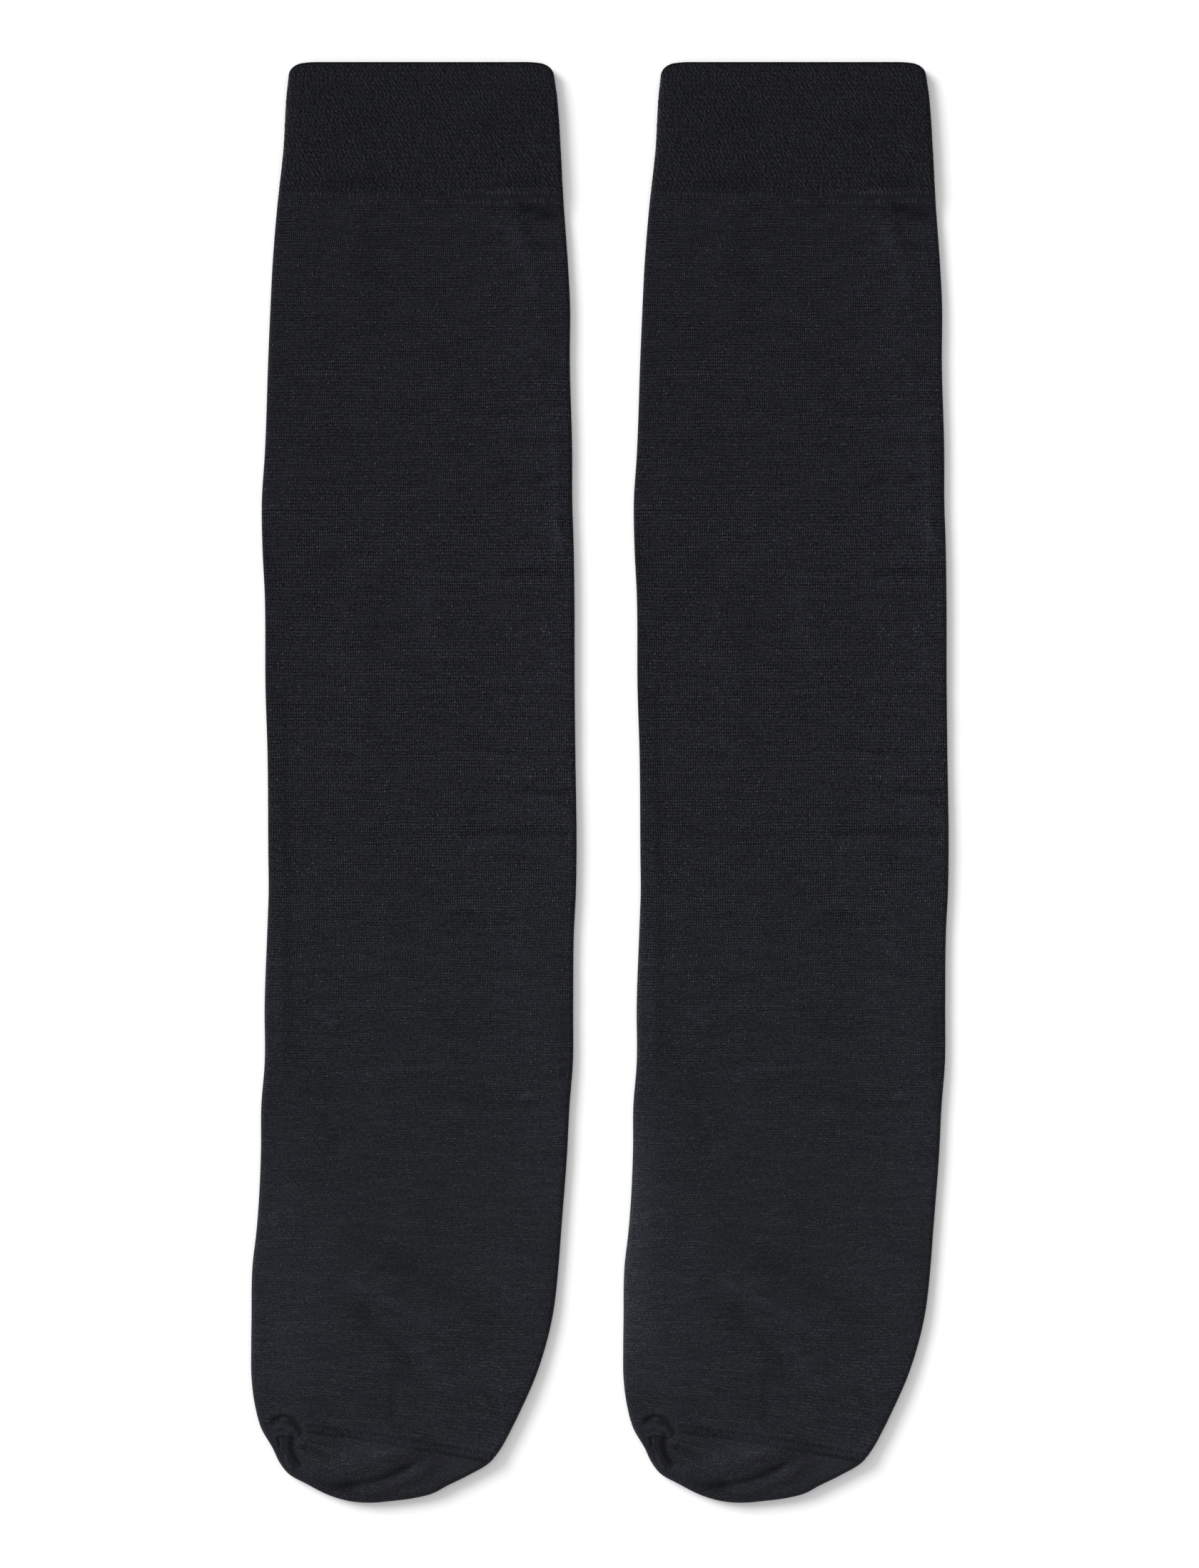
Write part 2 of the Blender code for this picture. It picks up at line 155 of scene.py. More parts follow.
SECTIONS = (
    Section(0.0036, 0.0408, 0.0457, 0.0031),
    Section(0.0098, 0.0415, 0.0466, 0.0031),
    Section(0.0284, 0.0426, 0.0480, 0.0031),
    Section(0.0461, 0.0445, 0.0489, 0.0031),
    Section(0.0657, 0.0461, 0.0503, 0.0031),
    Section(0.0797, 0.0468, 0.0510, 0.0032),
    Section(0.0960, 0.0475, 0.0509, 0.0032),
    Section(0.1286, 0.0487, 0.0517, 0.0031),
    Section(0.1426, 0.0496, 0.0517, 0.0031),
    Section(0.1589, 0.0494, 0.0522, 0.0032),
    Section(0.1729, 0.0487, 0.0524, 0.0033),
    Section(0.2055, 0.0484, 0.0525, 0.0032),
    Section(0.2242, 0.0478, 0.0527, 0.0031),
    Section(0.2591, 0.0475, 0.0531, 0.0033),
    Section(0.2708, 0.0474, 0.0529, 0.0032),
    Section(0.2824, 0.0478, 0.0523, 0.0031),
    Section(0.3080, 0.0487, 0.0520, 0.0031),
    Section(0.3267, 0.0487, 0.0519, 0.0031),
    Section(0.3407, 0.0498, 0.0508, 0.0032),
    Section(0.3547, 0.0499, 0.0501, 0.0032),
    Section(0.3826, 0.0515, 0.0480, 0.0032),
    Section(0.3919, 0.0526, 0.0473, 0.0032),
    Section(0.4106, 0.0530, 0.0450, 0.0034),
    Section(0.4199, 0.0531, 0.0427, 0.0035),
    Section(0.4292, 0.0530, 0.0396, 0.0037),
    Section(0.4385, 0.0518, 0.0355, 0.0039),
)
TOE_LOFT = 0.0043
TOE_LOFT_DOWN = 0.4600


@dataclass(frozen=True)
class EdgePoint:
    """A point on the toe's edge."""

    across: float
    down: float


TOE_EDGE = (
    EdgePoint(-0.0499, 0.4455),
    EdgePoint(-0.0459, 0.4525),
    EdgePoint(-0.0441, 0.4564),
    EdgePoint(-0.0415, 0.4600),
    EdgePoint(-0.0349, 0.4639),
    EdgePoint(-0.0280, 0.4674),
    EdgePoint(-0.0207, 0.4695),
    EdgePoint(-0.0140, 0.4700),
    EdgePoint(-0.0070, 0.4694),
    EdgePoint(0.0000, 0.4685),
    EdgePoint(0.0068, 0.4667),
    EdgePoint(0.0104, 0.4647),
    EdgePoint(0.0175, 0.4612),
    EdgePoint(0.0255, 0.4562),
    EdgePoint(0.0284, 0.4523),
    EdgePoint(0.0321, 0.4455),
)


def smooth_values(knots: Sequence, values: Sequence, wanted: Array) -> Array:
    """Values on a smooth curve through the knots: cubic pieces, sloped as their neighbours are.

    Args:
        knots: rising places of the known values.
        values: one number or one row of numbers for each knot.
        wanted: places to read, held between the first and the last knot.

    Returns:
        One value or one row for each wanted place.
    """
    knots = np.asarray(knots, float)
    values = np.asarray(values, float)
    slopes = np.gradient(values, knots, axis=0)
    index = np.clip(np.searchsorted(knots, wanted) - 1, 0, len(knots) - 2)
    span = knots[index + 1] - knots[index]
    t = np.clip((wanted - knots[index]) / span, 0.0, 1.0)
    if values.ndim > 1:
        t = t[:, None]
        span = span[:, None]
    start = (1 + 2 * t) * (1 - t) ** 2 * values[index]
    end = t * t * (3 - 2 * t) * values[index + 1]
    bends = span * t * (1 - t) * ((1 - t) * slopes[index] - t * slopes[index + 1])
    return start + end + bends


def nearest_on_path(points: Array, path: Array) -> tuple[Array, Array]:
    """The shortest distance from each point to a path of straight pieces, and where on the path that is.

    A point's offset from the start of each piece is projected on the piece, held between the piece's ends,
    and the piece with the shortest offset left over counts.

    Args:
        points: places in the sock's plane, n x 2.
        path: the path's corners, m x 2.

    Returns:
        The n distances, and the n places as shares of the path's pieces, from 0 to 1.
    """
    starts = path[:-1]
    runs = path[1:] - starts
    squares = (runs * runs).sum(axis=1)
    distances = np.empty(len(points))
    places = np.empty(len(points))
    for first in range(0, len(points), BLOCK):
        block = slice(first, first + BLOCK)
        offset_x = points[block, 0, None] - starts[:, 0]
        offset_y = points[block, 1, None] - starts[:, 1]
        share = np.clip((offset_x * runs[:, 0] + offset_y * runs[:, 1]) / squares, 0.0, 1.0)
        left_over = (offset_x - share * runs[:, 0]) ** 2 + (offset_y - share * runs[:, 1]) ** 2
        piece = left_over.argmin(axis=1)
        row = np.arange(len(piece))
        distances[block] = np.sqrt(left_over[row, piece])
        places[block] = (piece + share[row, piece]) / len(runs)
    return distances, places


def swell(share: Array) -> Array:
    """A quarter of an ellipse: 0 at the edge, 1 from the end of the roll inwards."""
    return np.sqrt(1 - (1 - np.clip(share, 0.0, 1.0)) ** 2)


def smooth_step(low: float, high: float, values: Array) -> Array:
    """3t^2 - 2t^3 of the values' place t between low and high."""
    t = np.clip((values - low) / (high - low), 0.0, 1.0)
    return t * t * (3 - 2 * t)


def soft_noise(points: Array, cell: Pair, seed: int) -> Array:
    """Smooth random values from -1 to 1.

    Random numbers stand at the corners of a lattice. A value is the mean of its cell's four corners, weighted
    by 3t^2 - 2t^3 along both sides of the cell.

    Args:
        points: places in the sock's plane, n x 2.
        cell: the lattice's spacing across and down.
        seed: picks the random numbers.

    Returns:
        One value for each point.
    """
    places = points / cell
    places = places - places.min(axis=0)
    corner = places.astype(int)
    lattice = np.random.default_rng(seed).uniform(-1.0, 1.0, corner.max(axis=0) + 2)
    t = places - corner
    t = t * t * (3 - 2 * t)
    x, y = corner[:, 0], corner[:, 1]
    upper = lattice[x, y] * (1 - t[:, 0]) + lattice[x + 1, y] * t[:, 0]
    lower = lattice[x, y + 1] * (1 - t[:, 0]) + lattice[x + 1, y + 1] * t[:, 0]
    return upper * (1 - t[:, 1]) + lower * t[:, 1]


@dataclass(frozen=True)
class Cloud:
    """Soft noise over the cloth: how strong, how wide and long its cells are, and its random numbers."""

    amount: float
    cell: Pair
    seed: int

    def at(self, points: Array) -> Array:
        """The noise at places in the sock's plane, n x 2."""
        return self.amount * soft_noise(points, self.cell, self.seed)


# The cloth's slow unevenness. Amounts are shares of the form's ripple.
RIPPLES = (
    Cloud(1.0, (0.021, 0.0038), seed=3),
    Cloud(1.0, (0.010, 0.060), seed=4),
    Cloud(0.5, (0.006, 0.0022), seed=5),
)


@dataclass(frozen=True)
class Mark:
    """A soft mark on the cloth that runs from start past bend to end, in millimetres.

    It fades over half_width to either side, and at both ends over a share of its length, its taper.
    """

    start: Pair
    bend: Pair
    end: Pair
    half_width: float
    amount: float
    taper: float = 0.12

    def line(self) -> Array:
        """A parabola from start to end, drawn towards bend, in metres."""
        t = np.linspace(0.0, 1.0, FOLD_SAMPLES)[:, None]
        start, bend, end = MM * np.array([self.start, self.bend, self.end])
        return (1 - t) ** 2 * start + 2 * t * (1 - t) * bend + t * t * end

    def add_to(self, values: Array, points: Array) -> None:
        """Adds the mark to values: amount times exp(-(distance / half_width)^2), faded at both ends.

        Args:
            values: one number for each point, changed in place.
            points: places in the sock's plane, n x 2.
        """
        line = self.line()
        half_width = MM * self.half_width
        reach = 3 * half_width
        near = ((points > line.min(axis=0) - reach) & (points < line.max(axis=0) + reach)).all(axis=1)
        if near.any():
            distance, place = nearest_on_path(points[near], line)
            fade = smooth_step(0.0, self.taper, np.minimum(place, 1 - place) + self.taper / 3)
            values[near] += self.amount * np.exp(-((distance / half_width) ** 2)) * fade


# The folds that the frame's solids have, then finer creases. Amounts are rises in millimetres.
FOLDS = (
    Mark((34.5, 46.8), (40.5, 48), (48.5, 51.2), 1.5, -0.5),  # under the cuff's end
    Mark((45.7, 117), (47.2, 140), (45.7, 173), 2, 0.3),  # along the calf's edge
    Mark((14, 251.2), (33, 250.6), (51.2, 252.1), 1.8, -0.4),  # across the shin
    Mark((18, 256.5), (30, 256), (44, 257), 3.5, 0.2),
    Mark((4.8, 337.2), (26, 342), (47.8, 340.7), 2.6, -0.3),  # across the ankle
    Mark((-21, 398.9), (0, 409.4), (25.6, 419.9), 3.5, 0.4),  # over the instep
    Mark((-4.5, 396.6), (14, 406), (28, 412.9), 5, -0.3),
    Mark((-13.9, 409.4), (-10.4, 417.6), (-8, 442), 3, -0.3),
    Mark((-46.5, 444.2), (-41, 439.2), (-36.2, 448.4), 1.3, -1.2),  # pucker, upper arc
    Mark((-40, 445.2), (-39, 446.2), (-37.4, 448), 1, 0.9),  # pucker, knot
    Mark((-39.2, 448.2), (-39.6, 453.7), (-35.8, 458.2), 1.3, -1.1),  # pucker, groove
    Mark((-35.4, 450.2), (-30, 451.4), (-22.8, 454.2), 1.4, -0.6),
    Mark((-33.8, 457.2), (-15, 459), (2.3, 450.2), 3.2, 0.8),  # bulge over the toes
    Mark((-25.5, 464.8), (-10.5, 465.5), (1.4, 456.8), 1.7, -1.3, 0.25),  # valley under it
    Mark((-17.5, 466.5), (-4.6, 465.3), (7, 457.2), 2.2, 0.6),  # roll at the tip
)
CREASES = (
    Mark((34.5, 47.4), (40.5, 49.2), (48, 51.8), 2, -0.2),  # below the cuff's end
    Mark((32, 53), (37.5, 64), (41.2, 76), 2.6, 0.59),
    Mark((36.1, 51.3), (40.1, 61), (45.4, 61.5), 1, -0.42),
    Mark((39.6, 94.8), (44, 98.5), (47.8, 101.1), 1.5, -0.42),
    Mark((25.6, 105.3), (35, 109.5), (45.4, 109.1), 1.3, -0.34),
    Mark((44, 118), (46.2, 120.5), (49, 120), 0.6, -0.25),  # the calf's puckers
    Mark((33.8, 124.4), (41.9, 123.2), (51.3, 124.4), 1, -0.34),
    Mark((44.2, 130), (46, 131.2), (49.8, 130.2), 0.7, -0.25),
    Mark((29.1, 135.2), (39, 139.5), (43.1, 136.1), 1.2, -0.42),
    Mark((43.6, 144.2), (46.3, 146.2), (50, 145), 0.6, -0.25),
    Mark((45.5, 148), (47.6, 154), (49.2, 160), 1.1, 0.51),
    Mark((44, 156.8), (46.6, 159), (51.2, 159), 0.8, -0.34),
    Mark((33.8, 164), (38.5, 162.8), (43.1, 164.3), 1.7, 0.51),
    Mark((28, 167.3), (38.4, 166), (50.1, 169.4), 1.4, -0.59),
    Mark((-20, 194), (-20.8, 206), (-20.3, 222), 2.8, 0.25),  # soft lengthways folds
    Mark((4, 169), (7, 184), (11, 198), 4, 0.34),
    Mark((-10, 170), (-12, 198), (-10.5, 224), 3, -0.25),
    Mark((14, 223), (25.6, 223.6), (36.1, 230), 1.4, -0.34),  # over the shin
    Mark((36.1, 237), (43, 240.5), (52.4, 238.6), 1.3, -0.51),
    Mark((14, 252.9), (33, 252.3), (50, 254.4), 1.3, -0.15),
    Mark((14, 256.8), (18, 265), (15.1, 270.8), 1.8, -0.34),
    Mark((4.7, 271.2), (10.5, 272.2), (16.3, 272.6), 1.3, -0.34),
    Mark((12.8, 275.4), (20.5, 275), (28, 276.3), 1.2, 0.34),
    Mark((16.3, 280.6), (21, 282.6), (25.6, 282.4), 2.1, -0.51),
    Mark((26.8, 296.9), (29.7, 298.5), (32.6, 298.3), 1.6, -0.34),
    Mark((-35, 305.7), (-26.8, 305), (-18.6, 306.2), 1.2, -0.34),  # above the ankle
    Mark((-33, 310.5), (-27, 312), (-23, 313), 2, 0.34),
    Mark((-15.1, 306.9), (-11.7, 308.5), (-8.2, 310.4), 0.9, 0.34),
    Mark((12.8, 311.5), (20.4, 316), (29.1, 313.9), 3.6, -0.6),
    Mark((-41.9, 320.9), (-36.7, 322), (-31.5, 323.2), 2.1, -0.3),
    Mark((-37.3, 336.5), (-29.1, 338.8), (-21, 338.4), 1.9, -0.3),
    Mark((36.1, 338), (39, 337.3), (41.2, 338.4), 1.4, 0.51),
    Mark((-29.1, 343), (-25.6, 348.8), (-23.3, 354.7), 1.5, -0.34),
    Mark((-17.5, 400.3), (-4.7, 406), (7, 416.2), 1.5, 0.4),  # over the instep
    Mark((-17.5, 406), (-8.5, 412.5), (3, 427), 2.2, -0.6),
    Mark((-12, 393), (8, 401), (29, 413), 3, -0.2),
    Mark((-31, 330.6), (-12, 329.2), (11, 326.8), 1.2, -0.3),
    Mark((17, 341), (28, 341.5), (39, 340.8), 1.3, -0.3),
    Mark((35, 246), (42, 247.2), (50, 246.4), 1.6, -0.4),
    Mark((34, 260), (42, 260.8), (49, 260.2), 1.6, -0.4),
    Mark((-6.2, 429.6), (-5.8, 437), (-5.5, 443.2), 1.8, -0.4),
    Mark((23.3, 433.9), (26.5, 437), (28, 441.3), 1.3, -0.51),
    Mark((-30.8, 432.7), (-28, 437), (-25.6, 442), 1.4, -0.34),
    Mark((-45.5, 448.2), (-43.5, 447), (-40.8, 447.7), 0.5, 0.5),  # round the pucker
    Mark((-44, 448.6), (-44, 450), (-43.6, 451.6), 0.5, -0.5),
    Mark((-43.2, 448.8), (-43.1, 450.2), (-43.1, 451.6), 0.4, 0.4),
    Mark((-38.6, 450), (-36.8, 451.2), (-35.4, 453.6), 0.5, 0.4),
    Mark((-37.2, 452.7), (-34, 452.4), (-29, 453.8), 1.1, -0.5),
    Mark((-29.7, 445.5), (-26.2, 447.8), (-21.9, 448.4), 1.3, -0.4),
    Mark((-41.8, 454.5), (-41, 456.8), (-39.3, 459), 0.5, 0.4),
    Mark((-30, 464), (-25, 465.2), (-19, 466), 2.4, -0.5),
)
# Creases of the lower face, which rises a little from the surface there.
UNDER_CREASES = (
    Mark((-43, 62), (-30, 66), (-19, 64), 2.2, 0.22),
    Mark((18, 121), (34, 119), (48, 123), 2, 0.25),
    Mark((-46, 166), (-26, 170), (-8, 167), 2.4, 0.22),
    Mark((6, 212), (26, 209), (47, 214), 2, 0.2),
    Mark((-45, 254), (-22, 250), (2, 255), 2.6, 0.28),
    Mark((14, 306), (30, 310), (48, 307), 2.2, 0.22),
    Mark((-46, 344), (-21, 340), (11, 345), 2.8, 0.28),
    Mark((-42, 401), (-16, 408), (18, 404), 3, 0.3),
    Mark((-30, 448), (-14, 452), (6, 447), 2.6, 0.25),
)


@dataclass
class LaidForm:
    """The form of a laid sock: its outline in its own plane, and the heights of its two faces.

    Attributes:
        inset: how far the outline lies inside the sock's own.
        roll_top: width over which a side fold rises to the upper face.
        roll_under: width over which it falls to the surface that the sock lies on.
        ripple: height of the cloth's slow unevenness.
        path: points on the outline, from the left mouth corner round the toe to the right one.
        lowest: which of them is the tip.
    """

    inset: float = 0.0
    roll_top: float = 0.0015
    roll_under: float = 0.0012
    ripple: float = 0.00007
    path: Array = field(init=False)
    lowest: int = field(init=False)

    def __post_init__(self) -> None:
        """Samples the outline and moves it inwards by the inset."""
        left = [(-section.left, section.down) for section in SECTIONS]
        toe = [(point.across, point.down) for point in TOE_EDGE]
        right = [(section.right, section.down) for section in reversed(SECTIONS)]
        corners = np.array(left + toe + right)
        lengths = np.linalg.norm(np.diff(corners, axis=0), axis=1)
        along = np.concatenate([[0.0], np.cumsum(lengths)])
        path = smooth_values(along, corners, np.linspace(0.0, along[-1], EDGE_SAMPLES))
        heading = np.gradient(path, axis=0)
        heading /= np.linalg.norm(heading, axis=1)[:, None]
        self.path = path + self.inset * np.column_stack([heading[:, 1], -heading[:, 0]])
        self.lowest = int(self.path[:, 1].argmax())

    def left(self, down: Array) -> Array:
        """Across places of the left edge."""
        side = self.path[: self.lowest]
        return np.interp(down, side[:, 1], side[:, 0])

    def right(self, down: Array) -> Array:
        """Across places of the right edge."""
        side = self.path[self.lowest :][::-1]
        return np.interp(down, side[:, 1], side[:, 0])

    def round_toe(self, left_down: float, right_down: float, shares: Array) -> Array:
        """Points on the outline from left_down round the tip to right_down.

        Args:
            left_down: how far down the left edge the way starts.
            right_down: how far down the right edge it ends.
            shares: shares of its length.

        Returns:
            A place in the plane for each share.
        """
        before = self.path[: self.lowest]
        after = self.path[self.lowest :]
        start = (self.left(left_down), left_down)
        end = (self.right(right_down), right_down)
        before = before[before[:, 1] > left_down]
        after = after[after[:, 1] > right_down]
        path = np.vstack([[start], before, after, [end]])
        along = np.concatenate([[0.0], np.cumsum(np.linalg.norm(np.diff(path, axis=0), axis=1))])
        wanted = shares * along[-1]
        return np.stack([np.interp(wanted, along, path[:, 0]), np.interp(wanted, along, path[:, 1])], axis=-1)

    def seam(self, shift: Array | float, shares: Array) -> Array:
        """The toe seam's line from edge to edge: straight but for a bow of half a sine.

        Args:
            shift: how far down the line is moved.
            shares: shares of its length.

        Returns:
            A place in the plane for each share.
        """
        left_down = SEAM_LEFT_DOWN + shift
        right_down = SEAM_RIGHT_DOWN + shift
        left = self.left(left_down)
        across = left + shares * (self.right(right_down) - left)
        down = left_down + shares * (right_down - left_down) - SEAM_BOW * np.sin(np.pi * shares)
        return np.stack([across, down], axis=-1)

    def rolled(self, points: Array, edge: float, middle: Array, roll: float) -> Array:
        """Heights from edge at the outline to middle after the roll, as a quarter of an ellipse."""
        distance, _ = nearest_on_path(points, self.path)
        return edge + (middle - edge) * swell(distance / roll)

    def top_heights(self, points: Array) -> Array:
        """Height of the cloth away from its side folds: its loft, folds, creases, ripples and seam ridge.

        Args:
            points: places in the plane, n x 2.

        Returns:
            One height for each point.
        """
        knots = [section.down for section in SECTIONS] + [TOE_LOFT_DOWN]
        lofts = [section.loft for section in SECTIONS] + [TOE_LOFT]
        rise = np.zeros(len(points))
        for mark in FOLDS + CREASES:
            mark.add_to(rise, points)
        height = smooth_values(knots, lofts, points[:, 1]) + MM * rise
        for cloud in RIPPLES:
            height += self.ripple * cloud.at(points)
        from_seam, _ = nearest_on_path(points, self.seam(0.0, np.linspace(0.0, 1.0, FOLD_SAMPLES)))
        return height + SEAM_RIDGE * np.exp(-((from_seam / SEAM_RIDGE_HALF_WIDTH) ** 2))

    def upper(self, points: Array, wall: float, lift: Array | float = 0.0) -> Array:
        """Heights of the upper face at points, n x 2, with the cloth raised by lift."""
        return self.rolled(points, wall + HOLLOW / 2, self.top_heights(points) + lift, self.roll_top)

    def under(self, points: Array, wall: float) -> Array:
        """Heights of the lower face: flat where it rests, rolled up at the side folds, lifted by creases.

        Args:
            points: places in the plane, n x 2.
            wall: the cloth's thickness.

        Returns:
            One height for each point.
        """
        rise = np.zeros(len(points))
        for mark in UNDER_CREASES:
            mark.add_to(rise, points)
        share = (points[:, 0] - self.path[:, 0].min()) / np.ptp(self.path[:, 0])
        from_band = points[:, 1] - (BAND_LEFT_DOWN + share * (BAND_RIGHT_DOWN - BAND_LEFT_DOWN))
        heights = MM * rise + BAND_GROOVE * np.exp(-((from_band / BAND_GROOVE_HALF_WIDTH) ** 4))
        return self.rolled(points, wall + HOLLOW / 2, heights, self.roll_under)


@dataclass(frozen=True)
class RingPlan:
    """Where the points of a ring round the laid tube stand: close at the side folds, even between them.

    Attributes:
        roll_steps: points over each side fold of the upper face.
        fine_left: width beside the left fold that has close points.
        fine_right: the same beside the right fold.
        fine_step: spacing there.
        middle: points on the rest of the upper face.
        under_middle: points on the flat of the lower face.
    """

    roll_steps: int = 9
    fine_left: float = 0.016
    fine_right: float = 0.0
    fine_step: float = 0.0005
    middle: int = 84
    under_middle: int = 38

    def side_steps(self, roll: float, fine: float) -> Array:
        """Distances from an edge: a quarter turn over the roll, then even steps over the fine width.

        Args:
            roll: the roll's width.
            fine: the fine width.

        Returns:
            The rising distances.
        """
        turns = np.linspace(0.0, np.pi / 2, self.roll_steps)
        even = np.arange(roll + self.fine_step, max(fine, roll) + self.fine_step / 2, self.fine_step)
        return np.concatenate([roll * (1 - np.cos(turns)), even])

    @staticmethod
    def shares(lengths: Array, left: Array, right: Array, middle: int) -> Array:
        """Places on rows, as shares: steps in from both ends and even places between.

        Args:
            lengths: the rows' lengths.
            left: distances from the left end.
            right: distances from the right end.
            middle: how many places stand between them.

        Returns:
            One row of shares for each length.
        """
        even = np.linspace(0.0, 1.0, middle + 2)[1:-1]
        inner = left[-1] + even * (lengths[:, None] - left[-1] - right[-1])
        from_left = np.broadcast_to(left, (len(lengths), len(left)))
        from_right = lengths[:, None] - right[::-1]
        return np.concatenate([from_left, inner, from_right], axis=1) / lengths[:, None]

    def faces(self, lengths: Array, form: LaidForm) -> tuple[Array, Array]:
        """Where points stand on the rows of both faces.

        Args:
            lengths: the rows' lengths.
            form: the laid sock's form.

        Returns:
            Shares for the upper face and for the lower face, one row for each length.
        """
        upper = self.shares(
            lengths,
            self.side_steps(form.roll_top, self.fine_left),
            self.side_steps(form.roll_top, self.fine_right),
            self.middle,
        )
        side = self.side_steps(form.roll_under, 0.0)
        return upper, self.shares(lengths, side, side, self.under_middle)


@dataclass
class Grid:
    """Rows of rings that a piece of cloth or thread is meshed from. Each ring closes on itself.

    Attributes:
        points: rows x columns x 3. The first coordinate is across, from the sock's centre line.
        stitches: rows x (columns + 1) x 2: wale and course, with the ring's first point again at its end.
        crest: rows x columns, from 0 between the stitches to 1 on their crests.
        closed: whether the last ring joins the first.
    """

    points: Array
    stitches: Array
    crest: Array
    closed: bool = False

    @staticmethod
    def joined(parts: Sequence["Grid"], closed: bool = False) -> "Grid":
        """The rows of several grids in their order, as one grid.

        Args:
            parts: the grids, of as many columns each.
            closed: whether the last row joins the first.

        Returns:
            The one grid.
        """
        points = np.concatenate([part.points for part in parts])
        stitches = np.concatenate([part.stitches for part in parts])
        return Grid(points, stitches, np.concatenate([part.crest for part in parts]), closed)

    def backwards(self) -> "Grid":
        """The same rows in reverse order, which turns the faces over."""
        return Grid(self.points[::-1], self.stitches[::-1], self.crest[::-1])

    def normals(self) -> Array:
        """Outward normals: the cross product of the steps from row to row and from column to column."""
        down_rows = np.gradient(self.points, axis=0)
        along = np.roll(self.points, -1, axis=1) - np.roll(self.points, 1, axis=1)
        normals = np.cross(down_rows, along)
        return normals / np.maximum(np.linalg.norm(normals, axis=2, keepdims=True), 1e-12)

    def raise_by(self, depth: float) -> None:
        """Moves the points along their normals so that crests stand depth above the gaps.

        On the upper face the mean stays in place. Where the cloth faces down it is the crests that stay, so
        that it rests on them.

        Args:
            depth: from a gap to a full crest.
        """
        normals = self.normals()
        facing_down = smooth_step(0.2, 0.8, -normals[:, :, 2])
        self.points = self.points + (depth * (self.crest - 0.5 - 0.5 * facing_down))[:, :, None] * normals


def world_points(plane: Array, heights: Array) -> Array:
    """Points of the frame from places in the sock's plane, with across still from its centre line."""
    return np.concatenate([plane[..., :1], CAD_HIGH.y - plane[..., 1:], heights[..., None]], axis=-1)


def ring_points(upper: Array, under: Array) -> Array:
    """Rings from rows of the upper face, left to right, and of the lower face, back without its two ends."""
    return np.concatenate([upper, under[:, -2:0:-1]], axis=1)


def ring_stitches(upper: Array, under: Array, courses: Array, wales: Array | float) -> Array:
    """Wale and course round each ring: half of the wales on either face, 0 in the upper one's middle.

    Args:
        upper: shares along the upper face, rows x columns.
        under: shares along the lower face.
        courses: the course at each row, or at each point of it.
        wales: stitches round the tube, as one number or as one for each row.

    Returns:
        Rows x (columns + 1) x 2, with each ring's first point again at its end.
    """
    over = (upper - 0.5) * wales / 2
    back = 3 * wales / 4 - under[:, -2:0:-1] * wales / 2
    last = np.full((len(upper), 1), 3 / 4) * wales
    wale = np.concatenate([over, back, last], axis=1)
    return np.stack([wale, np.broadcast_to(courses, wale.shape)], axis=-1)


def closed_ring(values: Array) -> Array:
    """Rows of values round rings, with each ring's first one again at its end."""
    return np.concatenate([values, values[:, :1]], axis=1)


def wandering(stitches: Array, plane: Array) -> Array:
    """Lets the stitches wander a little aside and up and down, as knitted rows do.

    Args:
        stitches: wale and course round rings, rows x (columns + 1) x 2.
        plane: the rings' places in the sock's plane, rows x columns x 2.

    Returns:
        The moved wales and courses.
    """
    flat = plane.reshape(-1, 2)
    foot = smooth_step(FOOT_FROM, FOOT_TO, flat[:, 1])
    ripple = COURSE_RIPPLE[0] + foot * (COURSE_RIPPLE[1] - COURSE_RIPPLE[0])
    up = COURSE_WANDER * soft_noise(flat, COURSE_WANDER_CELL, seed=7)
    up += ripple * soft_noise(flat, COURSE_RIPPLE_CELL, seed=8)
    aside = WALE_WANDER[0] + foot * (WALE_WANDER[1] - WALE_WANDER[0])
    aside = aside * soft_noise(flat, WALE_WANDER_CELL, seed=10)
    moves = np.stack([aside.reshape(plane.shape[:2]), up.reshape(plane.shape[:2])], axis=-1)
    return stitches + closed_ring(moves)


class Side(Enum):
    """The two socks of the pair."""

    LEFT = "left"
    RIGHT = "right"

    @property
    def centre(self) -> float:
        """The sock's centre line in the frame, half of the pair's spacing from its middle."""
        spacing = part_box("right_leg_and_foot")[0].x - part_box("left_leg_and_foot")[0].x
        return spacing / 2 if self is Side.RIGHT else -spacing / 2


# Courses of the leg grow and shrink along it: place down the leg and height of one course
COURSE_PITCH = (
    (0.0429, 0.00094),
    (0.0950, 0.00101),
    (0.1500, 0.00105),
    (0.2100, 0.00105),
    (0.2800, 0.00092),
    (0.3300, 0.00086),
    (0.4700, 0.00086),
)

# The leg's tone grows towards the toe: place down the leg and factor on the yarn's colour
TONE_RUN = (
    (0.0000, 1.00),
    (0.0500, 1.00),
    (0.1600, 1.08),
    (0.2800, 1.18),
    (0.3500, 1.26),
    (0.4200, 1.32),
    (0.4700, 1.32),
)

# Slow swings of the tone. The last one is rows knitted a little tighter or looser.
CLOUDS = (
    Cloud(0.030, (0.020, 0.012), seed=11),
    Cloud(0.015, (0.012, 0.004), seed=12),
    Cloud(0.018, (0.034, 0.0021), seed=13),
)
